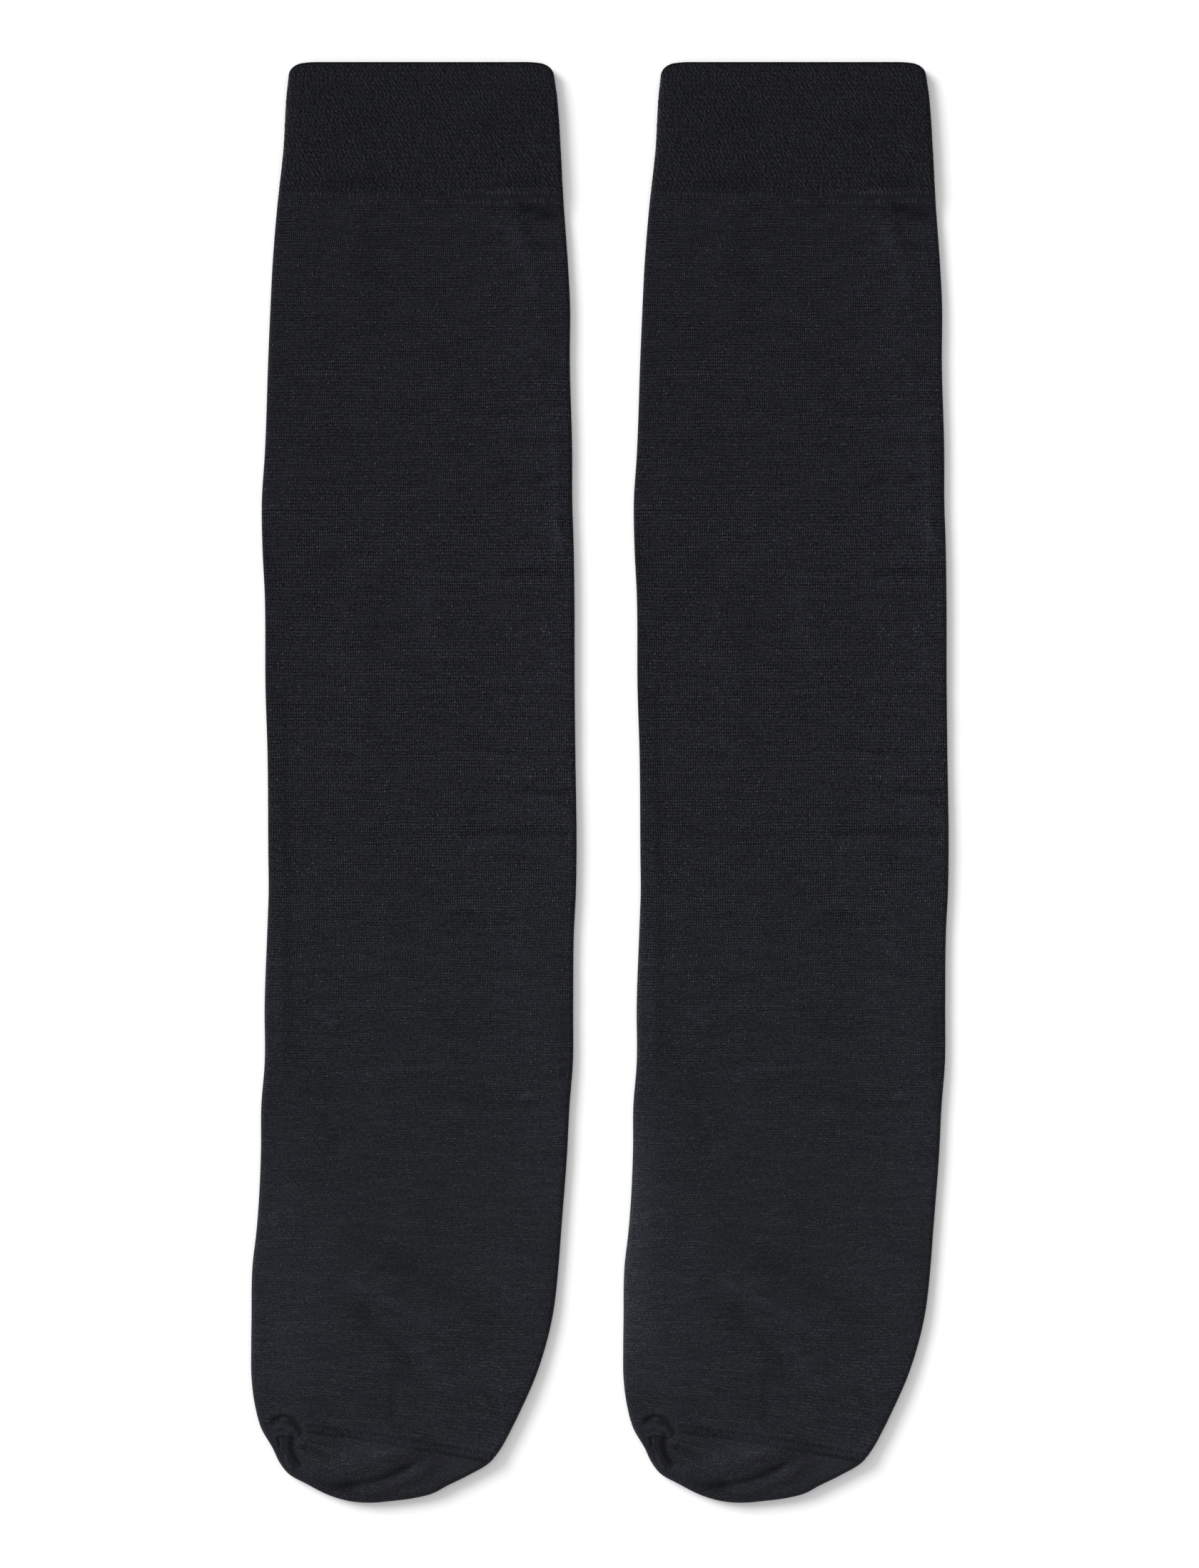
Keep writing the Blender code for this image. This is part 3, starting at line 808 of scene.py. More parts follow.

# Lighter and darker places. Many are painted highlight and painted shade that follow the folds, creases and
# puckers; the broad ones are the yarn's uneven tone. Amounts are added to the tone.
PAINTED_SHADING_AND_TONES = (
    Mark((42, 50), (46, 230), (42, 420), 18, 0.09),  # broad light along the right
    Mark((-52, 370), (-50, 410), (-48, 435), 11, 0.12),
    Mark((-44, 4), (-44.5, 25), (-47, 44), 5.5, 0.18),
    Mark((-43, 4), (-44, 25), (-46, 44), 3, 0.30),  # the cuff's edge
    Mark((-29, 39.2), (-20, 39.4), (-8, 39.6), 3.2, -0.21),
    Mark((23, 19), (24.5, 21), (25.6, 23), 3, -0.15),
    Mark((39.6, 24), (39, 27), (38.5, 30), 1.8, 0.21),
    Mark((30, 38.2), (36, 38.8), (41, 39.8), 2, -0.21),
    Mark((-20, 15), (-15, 18.5), (-8, 20), 5, -0.09),
    Mark((-44, 43), (-25, 43.2), (-3, 43.6), 0.7, 0.26),  # the linking band's lines
    Mark((10, 42.9), (30, 42.4), (47, 41.8), 0.7, 0.25),
    Mark((6, 44.9), (28, 44.6), (47, 44.1), 0.6, -0.10),
    Mark((8, 46.3), (20, 46), (33, 46.2), 0.6, 0.20),
    Mark((6, 47.1), (20, 47), (33, 47.2), 0.6, -0.22),
    Mark((-36, 46.8), (-30, 46.9), (-25, 47.2), 0.3, 0.25),  # below the band
    Mark((-36, 47.4), (-30, 47.5), (-25, 47.8), 0.3, -0.32),
    Mark((-12.5, 47.8), (-8, 47.7), (-3, 47.8), 0.4, -0.26),
    Mark((-36, 49.8), (-20, 49.9), (-4, 49.8), 0.4, -0.16),
    Mark((33.5, 47.3), (40, 48.2), (47, 50), 1.8, -0.15, taper=0.3),
    Mark((34.5, 47.5), (37, 48), (40, 48.2), 0.9, -0.34, taper=0.3),
    Mark((41, 49.8), (44.5, 50.2), (47.8, 50.4), 1.4, -0.24, taper=0.3),
    Mark((32.5, 48.9), (38.5, 49.6), (44, 50.6), 1.7, -0.20),
    Mark((-13, 50), (-14, 66), (-12, 82), 5, -0.07),
    Mark((32, 53), (37, 64), (41, 76), 3, 0.16),
    Mark((36.1, 51.3), (40.1, 61), (45.4, 61.5), 1.2, -0.12),
    Mark((-47, 50), (-48.5, 90), (-49, 125), 1.8, 0.18),
    Mark((32, 94.5), (35, 96.2), (38.5, 97.5), 1, 0.16),
    Mark((39.6, 95.8), (44, 99.5), (47.8, 101.5), 1.8, -0.14),
    Mark((39, 105), (43, 104), (47.5, 105.6), 0.8, 0.18),
    Mark((45.4, 115), (47, 145), (47, 165), 1.2, 0.21),  # painted highlight and shade of the calf's puckered edge
    Mark((45, 148), (47.5, 153.5), (49.2, 160), 1.3, 0.32),
    Mark((50, 125), (50.8, 140), (50.5, 152), 1.3, -0.15),
    Mark((29.1, 135.2), (39, 139), (43.1, 136.1), 1.6, -0.12),
    Mark((33.8, 164), (38.5, 162.8), (43.1, 164.3), 2, 0.15),
    Mark((28, 167.3), (38.4, 166.4), (48, 168), 1.3, -0.15),
    Mark((44, 175), (45, 190), (44, 205), 3.4, 0.08),
    Mark((-19, 190), (-19.2, 208), (-18.8, 234), 2.8, 0.13),  # painted highlight and shade along the soft lengthways folds
    Mark((4, 164), (6, 185), (8, 198), 4.5, 0.12),
    Mark((-9.5, 162), (-11, 198), (-9.5, 228), 3.4, -0.07),
    Mark((-1, 205.6), (6, 204.8), (13, 204), 0.9, 0.20),
    Mark((-48.4, 150), (-48, 200), (-47.8, 276), 1, -0.33),
    Mark((-42.4, 203), (-41.2, 265), (-40.8, 332), 1.3, -0.20),
    Mark((-40.8, 243), (-40.4, 256), (-40.4, 268), 2.2, -0.06),
    Mark((-44.6, 286), (-44.6, 305), (-45, 325), 1.4, 0.20),
    Mark((-48.8, 278), (-49.6, 306), (-50, 330), 2.8, 0.33),
    Mark((30, 226.8), (42, 226.2), (51, 227.2), 0.8, 0.10),
    Mark((32, 233), (42, 233.6), (51, 233), 0.8, 0.10),
    Mark((34, 239.8), (42, 240.2), (51, 239.6), 0.7, 0.10),
    Mark((36, 244), (43, 245.5), (50, 244.8), 1.8, 0.16),  # painted highlight and shade of the fold over the shin
    Mark((14, 251.3), (33, 250.9), (50.5, 251.7), 1.1, -0.24),
    Mark((-29, 251.3), (-8, 250.8), (12, 251.3), 1, -0.12),
    Mark((17.5, 256.2), (23, 256), (29, 256.6), 2, 0.06),
    Mark((36, 258.4), (43, 258), (49, 258.8), 1.6, 0.18),
    Mark((6, 276.6), (18, 275.3), (31, 275.1), 0.9, 0.17),
    Mark((10, 279), (16, 281.5), (23, 284), 3.4, -0.13),
    Mark((31, 286.8), (34.5, 290), (37.2, 293), 2.4, 0.20),
    Mark((26, 300), (30, 304), (32, 307), 3, 0.12),
    Mark((49, 300), (49.6, 320), (48.6, 344), 1.8, -0.18),
    Mark((-32.5, 308.8), (-29.2, 312.5), (-25, 314.8), 1.6, 0.30),  # painted highlight and shade of the creases above the ankle
    Mark((-16.5, 306.8), (-12.5, 308.4), (-8.5, 310.8), 0.8, 0.30),
    Mark((8, 313.8), (18, 316.5), (29, 315.8), 3.2, -0.18),
    Mark((-39, 318), (-37, 322.5), (-34.5, 329), 2.2, -0.13),
    Mark((-31, 330.2), (-12, 328.6), (12, 326.1), 1, 0.20),
    Mark((-37, 335.2), (-30, 337.4), (-22, 337.2), 2.4, -0.13),
    Mark((0, 332.5), (12, 335), (23, 337), 5, -0.08),
    Mark((34, 337.4), (38, 338.2), (43, 339), 1, 0.26),
    Mark((17, 340.4), (28, 340.9), (39, 340.3), 1, -0.15),
    Mark((42, 344), (43, 356), (42, 370), 5, 0.08),
    Mark((-44, 348), (-44, 360), (-43, 372), 6.5, 0.09),
    Mark((3, 348), (10, 360), (6, 378), 9, -0.10),
    Mark((-42, 370), (-40, 400), (-40, 436), 7.5, 0.15),  # the foot: painted highlight and shade of the instep's folds and creases
    Mark((-28, 364), (-30, 380), (-29, 394), 5, 0.08),
    Mark((-31, 385), (-31, 400), (-30, 413), 4.2, 0.12),
    Mark((-20, 380), (-16, 386), (-13, 391), 5, -0.05),
    Mark((-11, 389), (8, 398), (30, 413), 4.8, -0.20),
    Mark((-21.5, 397), (-8, 403.8), (10, 414.6), 1.5, 0.25),
    Mark((-20, 407), (-11, 413), (-2, 428), 3.4, -0.24),
    Mark((1, 418.5), (6, 425), (12.5, 433.5), 1.8, 0.14),
    Mark((-6.6, 427), (-6.2, 435), (-6.6, 444), 2.2, -0.16),
    Mark((-31, 433), (-27, 437.5), (-24, 443), 1.6, -0.14),
    Mark((24, 434), (26.5, 437.5), (28.2, 441.5), 1.2, -0.18),
    Mark((45, 375), (45.8, 395), (43.6, 411), 2, -0.16),
    Mark((-48, 442.4), (-44, 438.8), (-38.5, 440.8), 1, 0.24),  # painted shade and highlight of the toe's pucker
    Mark((-46.2, 443.4), (-42.5, 440.4), (-38.5, 444), 1.4, -0.50),
    Mark((-39, 443.6), (-37.6, 445.2), (-36.3, 447.2), 0.6, -0.45),
    Mark((-45.2, 445.4), (-43.3, 444.4), (-41.2, 444.6), 0.7, 0.36),
    Mark((-44.6, 446.1), (-43.5, 445.8), (-42.4, 445.6), 0.5, -0.40),
    Mark((-39.8, 445.3), (-38.6, 446.6), (-37, 448.2), 0.6, 0.40),
    Mark((-39, 447.8), (-37.5, 448.6), (-36, 450.4), 0.7, 0.30),
    Mark((-45.5, 448.3), (-43.5, 447.1), (-40.8, 447.7), 0.3, 0.50),
    Mark((-39.9, 446.2), (-39.8, 448), (-39.8, 449.6), 0.4, -0.40),
    Mark((-44, 448.4), (-42.5, 448.2), (-41.2, 448.6), 0.4, -0.35),
    Mark((-44, 449.2), (-43.9, 450.4), (-43.8, 451.5), 0.4, -0.40),
    Mark((-40.6, 449.5), (-41.1, 453.5), (-38, 457.6), 1.1, -0.45),
    Mark((-37.8, 451.6), (-33, 452.6), (-27.2, 454.2), 1.4, -0.20),
    Mark((-28.5, 452.8), (-26.2, 453.3), (-23.6, 454.4), 0.3, -0.30),
    Mark((-35.5, 454), (-32, 456), (-28, 458.2), 0.4, 0.24),
    Mark((-35, 450.7), (-31, 451.8), (-26.2, 453.4), 0.4, 0.22),
    Mark((-34, 451.7), (-30, 453.4), (-25.5, 455), 0.4, -0.24),
    Mark((-41.5, 455), (-40.8, 456.8), (-39.4, 458.8), 0.3, 0.35),
    Mark((-35.2, 443.8), (-26, 447), (-16, 450.6), 2, -0.10, taper=0.4),  # by the seam
    Mark((-31, 444), (-26.5, 445.2), (-22.5, 447.8), 0.6, -0.16, taper=0.4),
    Mark((-32, 446.8), (-28.5, 447.4), (-24, 449.4), 0.6, -0.16, taper=0.4),
    Mark((9.5, 453.9), (16, 454.5), (23.5, 455.8), 0.5, -0.30),
    Mark((-38, 455), (-34.5, 455.6), (-31, 456), 2.2, -0.18),
    Mark((-45.8, 447.5), (-45, 452), (-43.6, 456.5), 2, -0.16),
    Mark((-20, 450), (-15, 449.5), (-9, 449.5), 2.6, 0.12),
    Mark((-6, 448.2), (1, 449.2), (8, 450.8), 1.7, -0.10, taper=0.35),
    Mark((7.5, 451.2), (6, 453.5), (1, 456.2), 1.4, -0.12),
    Mark((-28, 456.8), (-18, 455.2), (-8, 453), 2.6, 0.20),  # painted highlight over the toes, painted shade in the valley below
    Mark((-30, 462), (-27, 461.2), (-23, 460), 2.2, 0.16),
    Mark((-24, 464.2), (-12, 464), (1, 456.2), 1.5, -0.16),
    Mark((-29.8, 463), (-24, 464.8), (-16, 467.2), 2.1, -0.42, taper=0.3),
    Mark((-15, 466.2), (-4, 464.5), (6, 458.2), 2, -0.14),
    Mark((10, 458.5), (20, 454.2), (30, 449), 4, 0.18),
    Mark((-5, 448), (3, 449), (11, 449), 2.6, -0.08),
    Mark((-33, 454.8), (-29, 455.2), (-24, 456), 2, -0.12),
    Mark((-39, 11), (-38.5, 25), (-39, 40), 4, 0.09),  # soft broad patches
    Mark((-47, 42), (-45, 44), (-43, 46), 2.5, 0.12),
    Mark((-46, 50), (-26, 50), (-6, 49.5), 4, 0.08),
    Mark((45, 78), (45.5, 86), (46, 94), 3.6, -0.07),
    Mark((-24, 120), (-25, 140), (-25, 165), 5, -0.06),
    Mark((-46, 185), (-46.2, 210), (-45.8, 235), 3, -0.06),
    Mark((22, 106), (34, 107.2), (48, 106.4), 1.6, 0.09),  # rows that catch the light
    Mark((25, 119.2), (37, 119.8), (50, 119), 1.2, 0.10),
    Mark((22, 170.8), (36, 171.4), (50, 170.8), 1.4, 0.10),
    Mark((16, 232.4), (22, 232.8), (29, 232.2), 1.4, 0.09),
    Mark((16, 275.2), (22, 276.4), (28, 275.8), 1.2, 0.04),
    Mark((40, 111.4), (45, 111.8), (50, 111.4), 1.1, -0.13),  # rows that lie lower, in painted shade
    Mark((38, 123.8), (43, 124.2), (48.5, 123.8), 1.1, -0.11),
    Mark((20, 222.8), (30, 224), (40, 226.8), 1.4, -0.12),
    Mark((30, 237.8), (40, 238.4), (50, 237.8), 1.2, -0.14),
    Mark((20, 249), (32, 252.4), (45, 253.6), 1.4, -0.11),
)
# Each sock's own marks: painted highlight along the foot's left edge, and on the right sock painted shade
# near the toe
OWN_PAINTED_SHADING = {
    Side.LEFT: (Mark((-51, 325), (-53, 375), (-53.5, 430), 3.2, 0.18, taper=0.2),),
    Side.RIGHT: (
        Mark((-50, 250), (-54.5, 380), (-56, 442), 7, 0.38, taper=0.45),
        Mark((-50, 340), (-53, 390), (-54, 424), 7.2, 0.66, taper=0.35),
        Mark((-39.5, 410), (-39, 418), (-38.5, 425), 3.4, -0.11),
        Mark((-45.5, 435), (-45, 440), (-44, 446), 4, -0.11),
        Mark((-44, 450), (-39, 454.5), (-32, 456), 3.5, -0.20, taper=0.3),
    ),
}


def tone_and_painted_shading(points: Array, side: Side) -> Array:
    """The yarn's tone and painted shading: the run towards the toe, with the marks and the clouds added.

    Args:
        points: places in the sock's plane, n x 2.
        side: which sock it is.

    Returns:
        A factor on the yarn's colour for each point.
    """
    run = np.array(TONE_RUN)
    tone = smooth_values(run[:, 0], run[:, 1], points[:, 1])
    # marks of painted shade, painted highlight and uneven tone
    for tint in PAINTED_SHADING_AND_TONES + OWN_PAINTED_SHADING[side]:
        tint.add_to(tone, points)
    for cloud in CLOUDS:
        tone += cloud.at(points)
    return tone


def knit_object(name: str, grids: Sequence[Grid], side: Side, weld: bool = False) -> bpy.types.Object:
    """One mesh of the grids, moved across to the sock's centre line, with its map and attributes.

    Each quad joins neighbours in one ring to the same neighbours in the next. It faces outwards where the
    rings follow each other down the outside and up the inside.

    Args:
        name: the piece's name.
        grids: the grids it is made of.
        side: which sock it is on.
        weld: whether points that meet are joined, as where rings run together in a point.

    Returns:
        The new object, at the origin.
    """
    faces, maps = [], []
    first = 0
    for grid in grids:
        rows, columns = grid.points.shape[:2]
        row = np.arange(rows if grid.closed else rows - 1)[:, None]
        column = np.arange(columns)[None, :]
        below = (row + 1) % rows
        beside = (column + 1) % columns
        corners = (row * columns + column, below * columns + column)
        corners += (below * columns + beside, row * columns + beside)
        faces.append(first + np.stack(corners, axis=-1).reshape(-1, 4))
        stitches = grid.stitches
        mapped = (stitches[row, column], stitches[below, column])
        mapped += (stitches[below, column + 1], stitches[row, column + 1])
        maps.append(np.stack(mapped, axis=2).reshape(-1, 2))
        first += rows * columns
    points = np.concatenate([grid.points.reshape(-1, 3) for grid in grids])
    tone = tone_and_painted_shading(np.column_stack([points[:, 0], CAD_HIGH.y - points[:, 1]]), side)
    mesh = bpy.data.meshes.new(name)
    mesh.from_pydata((points + (side.centre, 0.0, 0.0)).tolist(), [], np.concatenate(faces).tolist())
    mesh.uv_layers.new(name=STITCHES).uv.foreach_set("vector", np.concatenate(maps).ravel())
    crest = np.concatenate([grid.crest.ravel() for grid in grids])
    for attribute, values in ((CREST, crest), (TONE_AND_PAINTED_SHADING, tone)):
        mesh.attributes.new(attribute, "FLOAT", "POINT").data.foreach_set("value", values)
    if weld:
        shape = bmesh.new()
        shape.from_mesh(mesh)
        bmesh.ops.remove_doubles(shape, verts=shape.verts, dist=SAME_POINT)
        shape.to_mesh(mesh)
        shape.free()
    mesh.shade_smooth()
    mesh.set_sharp_from_angle(angle=math.radians(SHARP_DEGREES))
    piece = bpy.data.objects.new(name, mesh)
    bpy.context.scene.collection.objects.link(piece)
    return piece


@dataclass
class Piece:
    """A part of the sock that is made of cloth or thread.

    Attributes:
        form: the laid sock's form.
        inner_rings: rings of its inside.
        ring: where a ring's points stand.
    """

    form: LaidForm
    inner_rings: int = 9
    ring: RingPlan = RingPlan()

    @staticmethod
    def plain(plane: Array, heights: Array, stitches: Array) -> Grid:
        """A grid whose crest is level."""
        return Grid(world_points(plane, heights), stitches, np.full(plane.shape[:2], 0.5))

    def tube(self, upper: Array, under: Array, wall: float, lift: Array | float) -> Array:
        """Heights of the outer face round each ring.

        Args:
            upper: places of its points on the upper face, rows x columns x 2.
            under: the same on the lower face.
            wall: the cloth's thickness.
            lift: how far the upper face is raised, in all or at each point.

        Returns:
            Rows x points round the ring.
        """
        top = self.form.upper(upper.reshape(-1, 2), wall, np.broadcast_to(lift, upper.shape[:2]).ravel())
        bottom = self.form.under(under.reshape(-1, 2), wall)
        return self.ring_heights(upper, under, top, bottom)

    @staticmethod
    def ring_heights(upper: Array, under: Array, top: Array, bottom: Array) -> Array:
        """Flat lists of heights put back in rows and joined to rings."""
        top = top.reshape(upper.shape[:2])
        bottom = bottom.reshape(under.shape[:2])
        return ring_points(top[..., None], bottom[..., None])[..., 0]

    def lining(self, upper: Array, under: Array, wall: float, lift: float) -> Array:
        """Heights of the inner face: one wall inside the outer face, closed at the side folds.

        Args and result are those of tube.
        """
        rim = wall + HOLLOW / 2
        flat = upper.reshape(-1, 2)
        distance, _ = nearest_on_path(flat, self.form.path)
        ceiling = np.maximum(self.form.top_heights(flat) + lift - wall, rim)
        top = rim + (ceiling - rim) * swell((distance - wall) / self.form.roll_under)
        flat = under.reshape(-1, 2)
        distance, _ = nearest_on_path(flat, self.form.path)
        bottom = rim + (wall - rim) * swell((distance - wall) / self.form.roll_under)
        return self.ring_heights(upper, under, top, bottom)


def stack_shift(row: "Array | Term", sine: Callable) -> "Array | Term":
    """How far a row of the cuff's stitches stands beside the first row: a lean and two waves.

    Args:
        row: the row's number, in an array or in a material.
        sine: the sine of such a number.

    Returns:
        The shift, in stitches.
    """
    shift = STACK_LEAN * row
    for reach, turn in STACK_WAVES:
        shift = shift + reach * sine(turn * row)
    return shift


@dataclass
class Cuff(Piece):
    """The double cuff: an elastic welt of slanted stitches, turned over at the mouth.

    Attributes:
        lift: how far its doubled cloth stands above the single knit.
        course: height of one row of stitches.
        width: a stitch's half width, as a share of its spacing.
        depth: how far the stitches stand out.
        strengths: how far the flattest and the boldest stitch stand out, as shares of the depth.
        waver: how far stitches stand aside, in stitches.
        wander: how far rows wander up and down over broad and over small patches, in rows.
        row_spacing: spacing of the mesh's rings.
        rim: height of the mouth's rounded rim.
        rim_turns: steps over it.
    """

    lift: float = 0.0010
    course: float = 0.00156
    width: float = 0.19
    depth: float = 0.00011
    strengths: Pair = (0.3, 1.0)
    waver: float = 0.30
    wander: Pair = (0.40, 0.25)
    row_spacing: float = 0.00038
    rim: float = 0.0008
    rim_turns: int = 7
    ring: RingPlan = RingPlan(roll_steps=9, fine_left=0.0, middle=500, under_middle=60)

    def rows(self, downs: Array, shares: Array, form: LaidForm) -> Array:
        """Rows in the plane. Near the mouth their ends slope down and drop, which rounds the corners.

        The drop is a quarter ellipse over the corner plus a square over the shoulder, and fades with depth.

        Args:
            downs: how far down each row starts.
            shares: places along the rows, one row of shares for each or one for all.
            form: the form whose edges the rows reach.

        Returns:
            Places in the plane, rows x columns x 2.
        """
        below = downs[:, None] + MOUTH_CORNER_DOWN
        width = form.right(below) - form.left(below)
        from_side = np.minimum(shares, 1 - shares) * width
        corner = 1 - np.clip(from_side / MOUTH_CORNER_ACROSS, 0.0, 1.0)
        shoulder = 1 - np.clip(from_side / MOUTH_SHOULDER_ACROSS, 0.0, 1.0)
        drop = MOUTH_CORNER_DOWN * (1 - np.sqrt(1 - corner * corner)) + MOUTH_SHOULDER_DOWN * shoulder**2
        places = downs[:, None] + drop * np.clip(1 - downs[:, None] / MOUTH_CORNER_FADE, 0.0, 1.0)
        left = form.left(places)
        return np.stack([left + shares * (form.right(places) - left), places], axis=-1)

    def crest(self, stitches: Array) -> Array:
        """Slanted strokes in rows: a bell across each stroke times a sine along it, unevenly strong.

        Args:
            stitches: wale and course round rings, rows x (columns + 1) x 2.

        Returns:
            From 0 between the strokes to 1 on the boldest, rows x columns.
        """
        wale, course = stitches[:, :-1, 0], stitches[:, :-1, 1]
        row = np.floor(course).astype(int)
        along = course - row
        size = (row.max() + 2, CUFF_WALES_ROUND)
        strength = np.random.default_rng(21).uniform(*self.strengths, size)
        place = wale - stack_shift(row, np.sin) - CUFF_SLANT * (along - 0.5)
        nearest = np.round(place)
        across = np.exp(-(((place - nearest) / self.width) ** 2))
        strength = strength[row, nearest.astype(int) % CUFF_WALES_ROUND]
        return across * np.sin(np.pi * along) ** BLUNTNESS * strength

    def face(self, downs: Array, form: LaidForm, inner: bool) -> Grid:
        """The outer or the inner face.

        Args:
            downs: how far down each row starts.
            form: the form whose edges the rows reach.
            inner: whether it is the inner face.

        Returns:
            Its grid, from the first row to the last.
        """
        lengths = form.right(downs) - form.left(downs)
        upper_shares, under_shares = self.ring.faces(lengths, self.form)
        upper = self.rows(downs, upper_shares, form)
        under = self.rows(downs, under_shares, form)
        heights = (self.lining if inner else self.tube)(upper, under, CUFF_WALL, self.lift)
        plane = ring_points(upper, under)
        courses = 1.0 + downs[:, None] / self.course
        stitches = ring_stitches(upper_shares, under_shares, courses, float(CUFF_WALES_ROUND))
        flat = plane.reshape(-1, 2)
        broad, small = self.wander
        aside = self.waver * soft_noise(flat, (0.0035, self.course), seed=9)
        up = broad * soft_noise(flat, COURSE_WANDER_CELL, seed=7)
        up += small * soft_noise(flat, COURSE_RIPPLE_CELL, seed=8)
        moves = np.column_stack([aside, up]).reshape(plane.shape)
        return self.plain(plane, heights, stitches + closed_ring(moves))

    def grid(self) -> Grid:
        """The cuff once round its wall: down the outside, back up inside, and over the rounded rim.

        The rim is half an ellipse. Its rings follow each other from the outside in, against that way round,
        so its quads face inwards, and the quads that join it to the two faces cross inside the wall.
        """
        end = CUFF_DEPTH - SEAM_GAP / 2
        downs = np.linspace(self.rim, end, round(end / self.row_spacing))
        outer = self.face(downs, self.form, inner=False)
        outer.crest = self.crest(outer.stitches)
        outer.raise_by(self.depth)
        downs = np.linspace(self.rim, end, self.inner_rings)
        inner = self.face(downs, LaidForm(inset=CUFF_WALL), inner=True)
        angle = np.pi * np.arange(1, self.rim_turns)[:, None, None] / self.rim_turns
        middle = (outer.points[0] + inner.points[0]) / 2
        half_wall = (inner.points[0] - outer.points[0]) / 2
        points = middle - half_wall * np.cos(angle)
        points[:, :, 1] += self.rim * np.sin(angle[:, :, 0])
        stitches = np.repeat(outer.stitches[:1], len(angle), axis=0)
        over = Grid(points, stitches, np.repeat(outer.crest[:1], len(angle), axis=0))
        return Grid.joined([outer, inner.backwards(), over], closed=True)


@dataclass
class Leg(Piece):
    """The leg and foot: one tube of plain knit from the linking band to the toe seam.

    Attributes:
        spans: from where, to where, and how close its mesh's rings are.
    """

    spans: tuple[tuple[float, float, float], ...] = (
        (CUFF_DEPTH + SEAM_GAP / 2, 0.1120, 0.00098),
        (0.1120, 0.1720, 0.00072),
        (0.1720, 0.4300, 0.00100),
        (0.4300, SEAM_LEFT_DOWN - SEAM_GAP / 2, 0.00045),
    )
    inner_rings: int = 14
    ring: RingPlan = RingPlan(middle=76, fine_right=0.008)

    @staticmethod
    def turned(downs: Array) -> Array:
        """How far a row that starts at the left edge has turned to lie along the toe seam, 0 to 1."""
        last = SEAM_LEFT_DOWN - SEAM_GAP / 2
        return np.clip((downs - TILT_START_DOWN) / (last - TILT_START_DOWN), 0.0, None)

    def right_downs(self, downs: Array) -> Array:
        """Where rows that start at downs on the left edge end on the right edge."""
        return downs + (SEAM_RIGHT_DOWN - SEAM_LEFT_DOWN) * self.turned(downs) ** 2

    def rows(self, downs: Array, shares: Array, form: LaidForm) -> Array:
        """Rows in the plane. From the instep on they tilt and bow until they lie along the toe seam.

        Args:
            downs: how far down each row starts, on the left edge.
            shares: places along the rows, one row of shares for each.
            form: the form whose edges the rows reach.

        Returns:
            Places in the plane, rows x columns x 2.
        """
        start = downs[:, None]
        end = self.right_downs(start)
        left = form.left(start)
        across = left + shares * (form.right(end) - left)
        bow = self.turned(start) ** 2 * SEAM_BOW * np.sin(np.pi * shares)
        return np.stack([across, start + shares * (end - start) - bow], axis=-1)

    @staticmethod
    def courses(downs: Array) -> Array:
        """The number of courses from the cuff to each place, summed over steps of the leg.

        Args:
            downs: the places down the leg.

        Returns:
            One number for each place.
        """
        pitch = np.array(COURSE_PITCH)
        steps = np.linspace(pitch[0, 0], pitch[-1, 0], 400)
        rate = 1 / smooth_values(pitch[:, 0], pitch[:, 1], steps)
        count = np.concatenate([[0.0], np.cumsum((rate[1:] + rate[:-1]) / 2 * np.diff(steps))])
        return np.interp(downs, steps, count)

    def face(self, downs: Array, form: LaidForm, inner: bool) -> Grid:
        """The outer or the inner face, on rows that start at downs on the left edge.

        Args and result are those of the cuff's face.
        """
        lengths = form.right(self.right_downs(downs)) - form.left(downs)
        upper_shares, under_shares = self.ring.faces(lengths, self.form)
        upper = self.rows(downs, upper_shares, form)
        under = self.rows(downs, under_shares, form)
        if inner:
            heights = self.lining(upper, under, KNIT_WALL, 0.0)
        else:
            heights = self.tube(upper, under, KNIT_WALL, self.step(upper[..., 1]))
        plane = ring_points(upper, under)
        run = np.array(WALE_RUN)
        wales = smooth_values(run[:, 0], run[:, 1], downs)[:, None]
        stitches = ring_stitches(upper_shares, under_shares, self.courses(downs)[:, None], wales)
        return self.plain(plane, heights, wandering(stitches, plane))

    @staticmethod
    def step(downs: Array) -> Array:
        """Height of the step down from the cuff: a squared cosine that ends with the band."""
        below_cuff = np.clip((downs - CUFF_DEPTH) / BAND_DEPTH, 0.0, 1.0)
        return BAND_STEP * np.cos(np.pi / 2 * below_cuff) ** 2

    def grid(self) -> Grid:
        """The leg once round its wall: down the outside and back up inside."""
        spans = [np.linspace(start, end, round((end - start) / step))[1:] for start, end, step in self.spans]
        downs = np.concatenate([[self.spans[0][0]], *spans])
        outer = self.face(downs, self.form, inner=False)
        downs = np.linspace(downs[-1], downs[0], self.inner_rings)
        inner = self.face(downs, LaidForm(inset=KNIT_WALL), inner=True)
        return Grid.joined([outer, inner], closed=True)


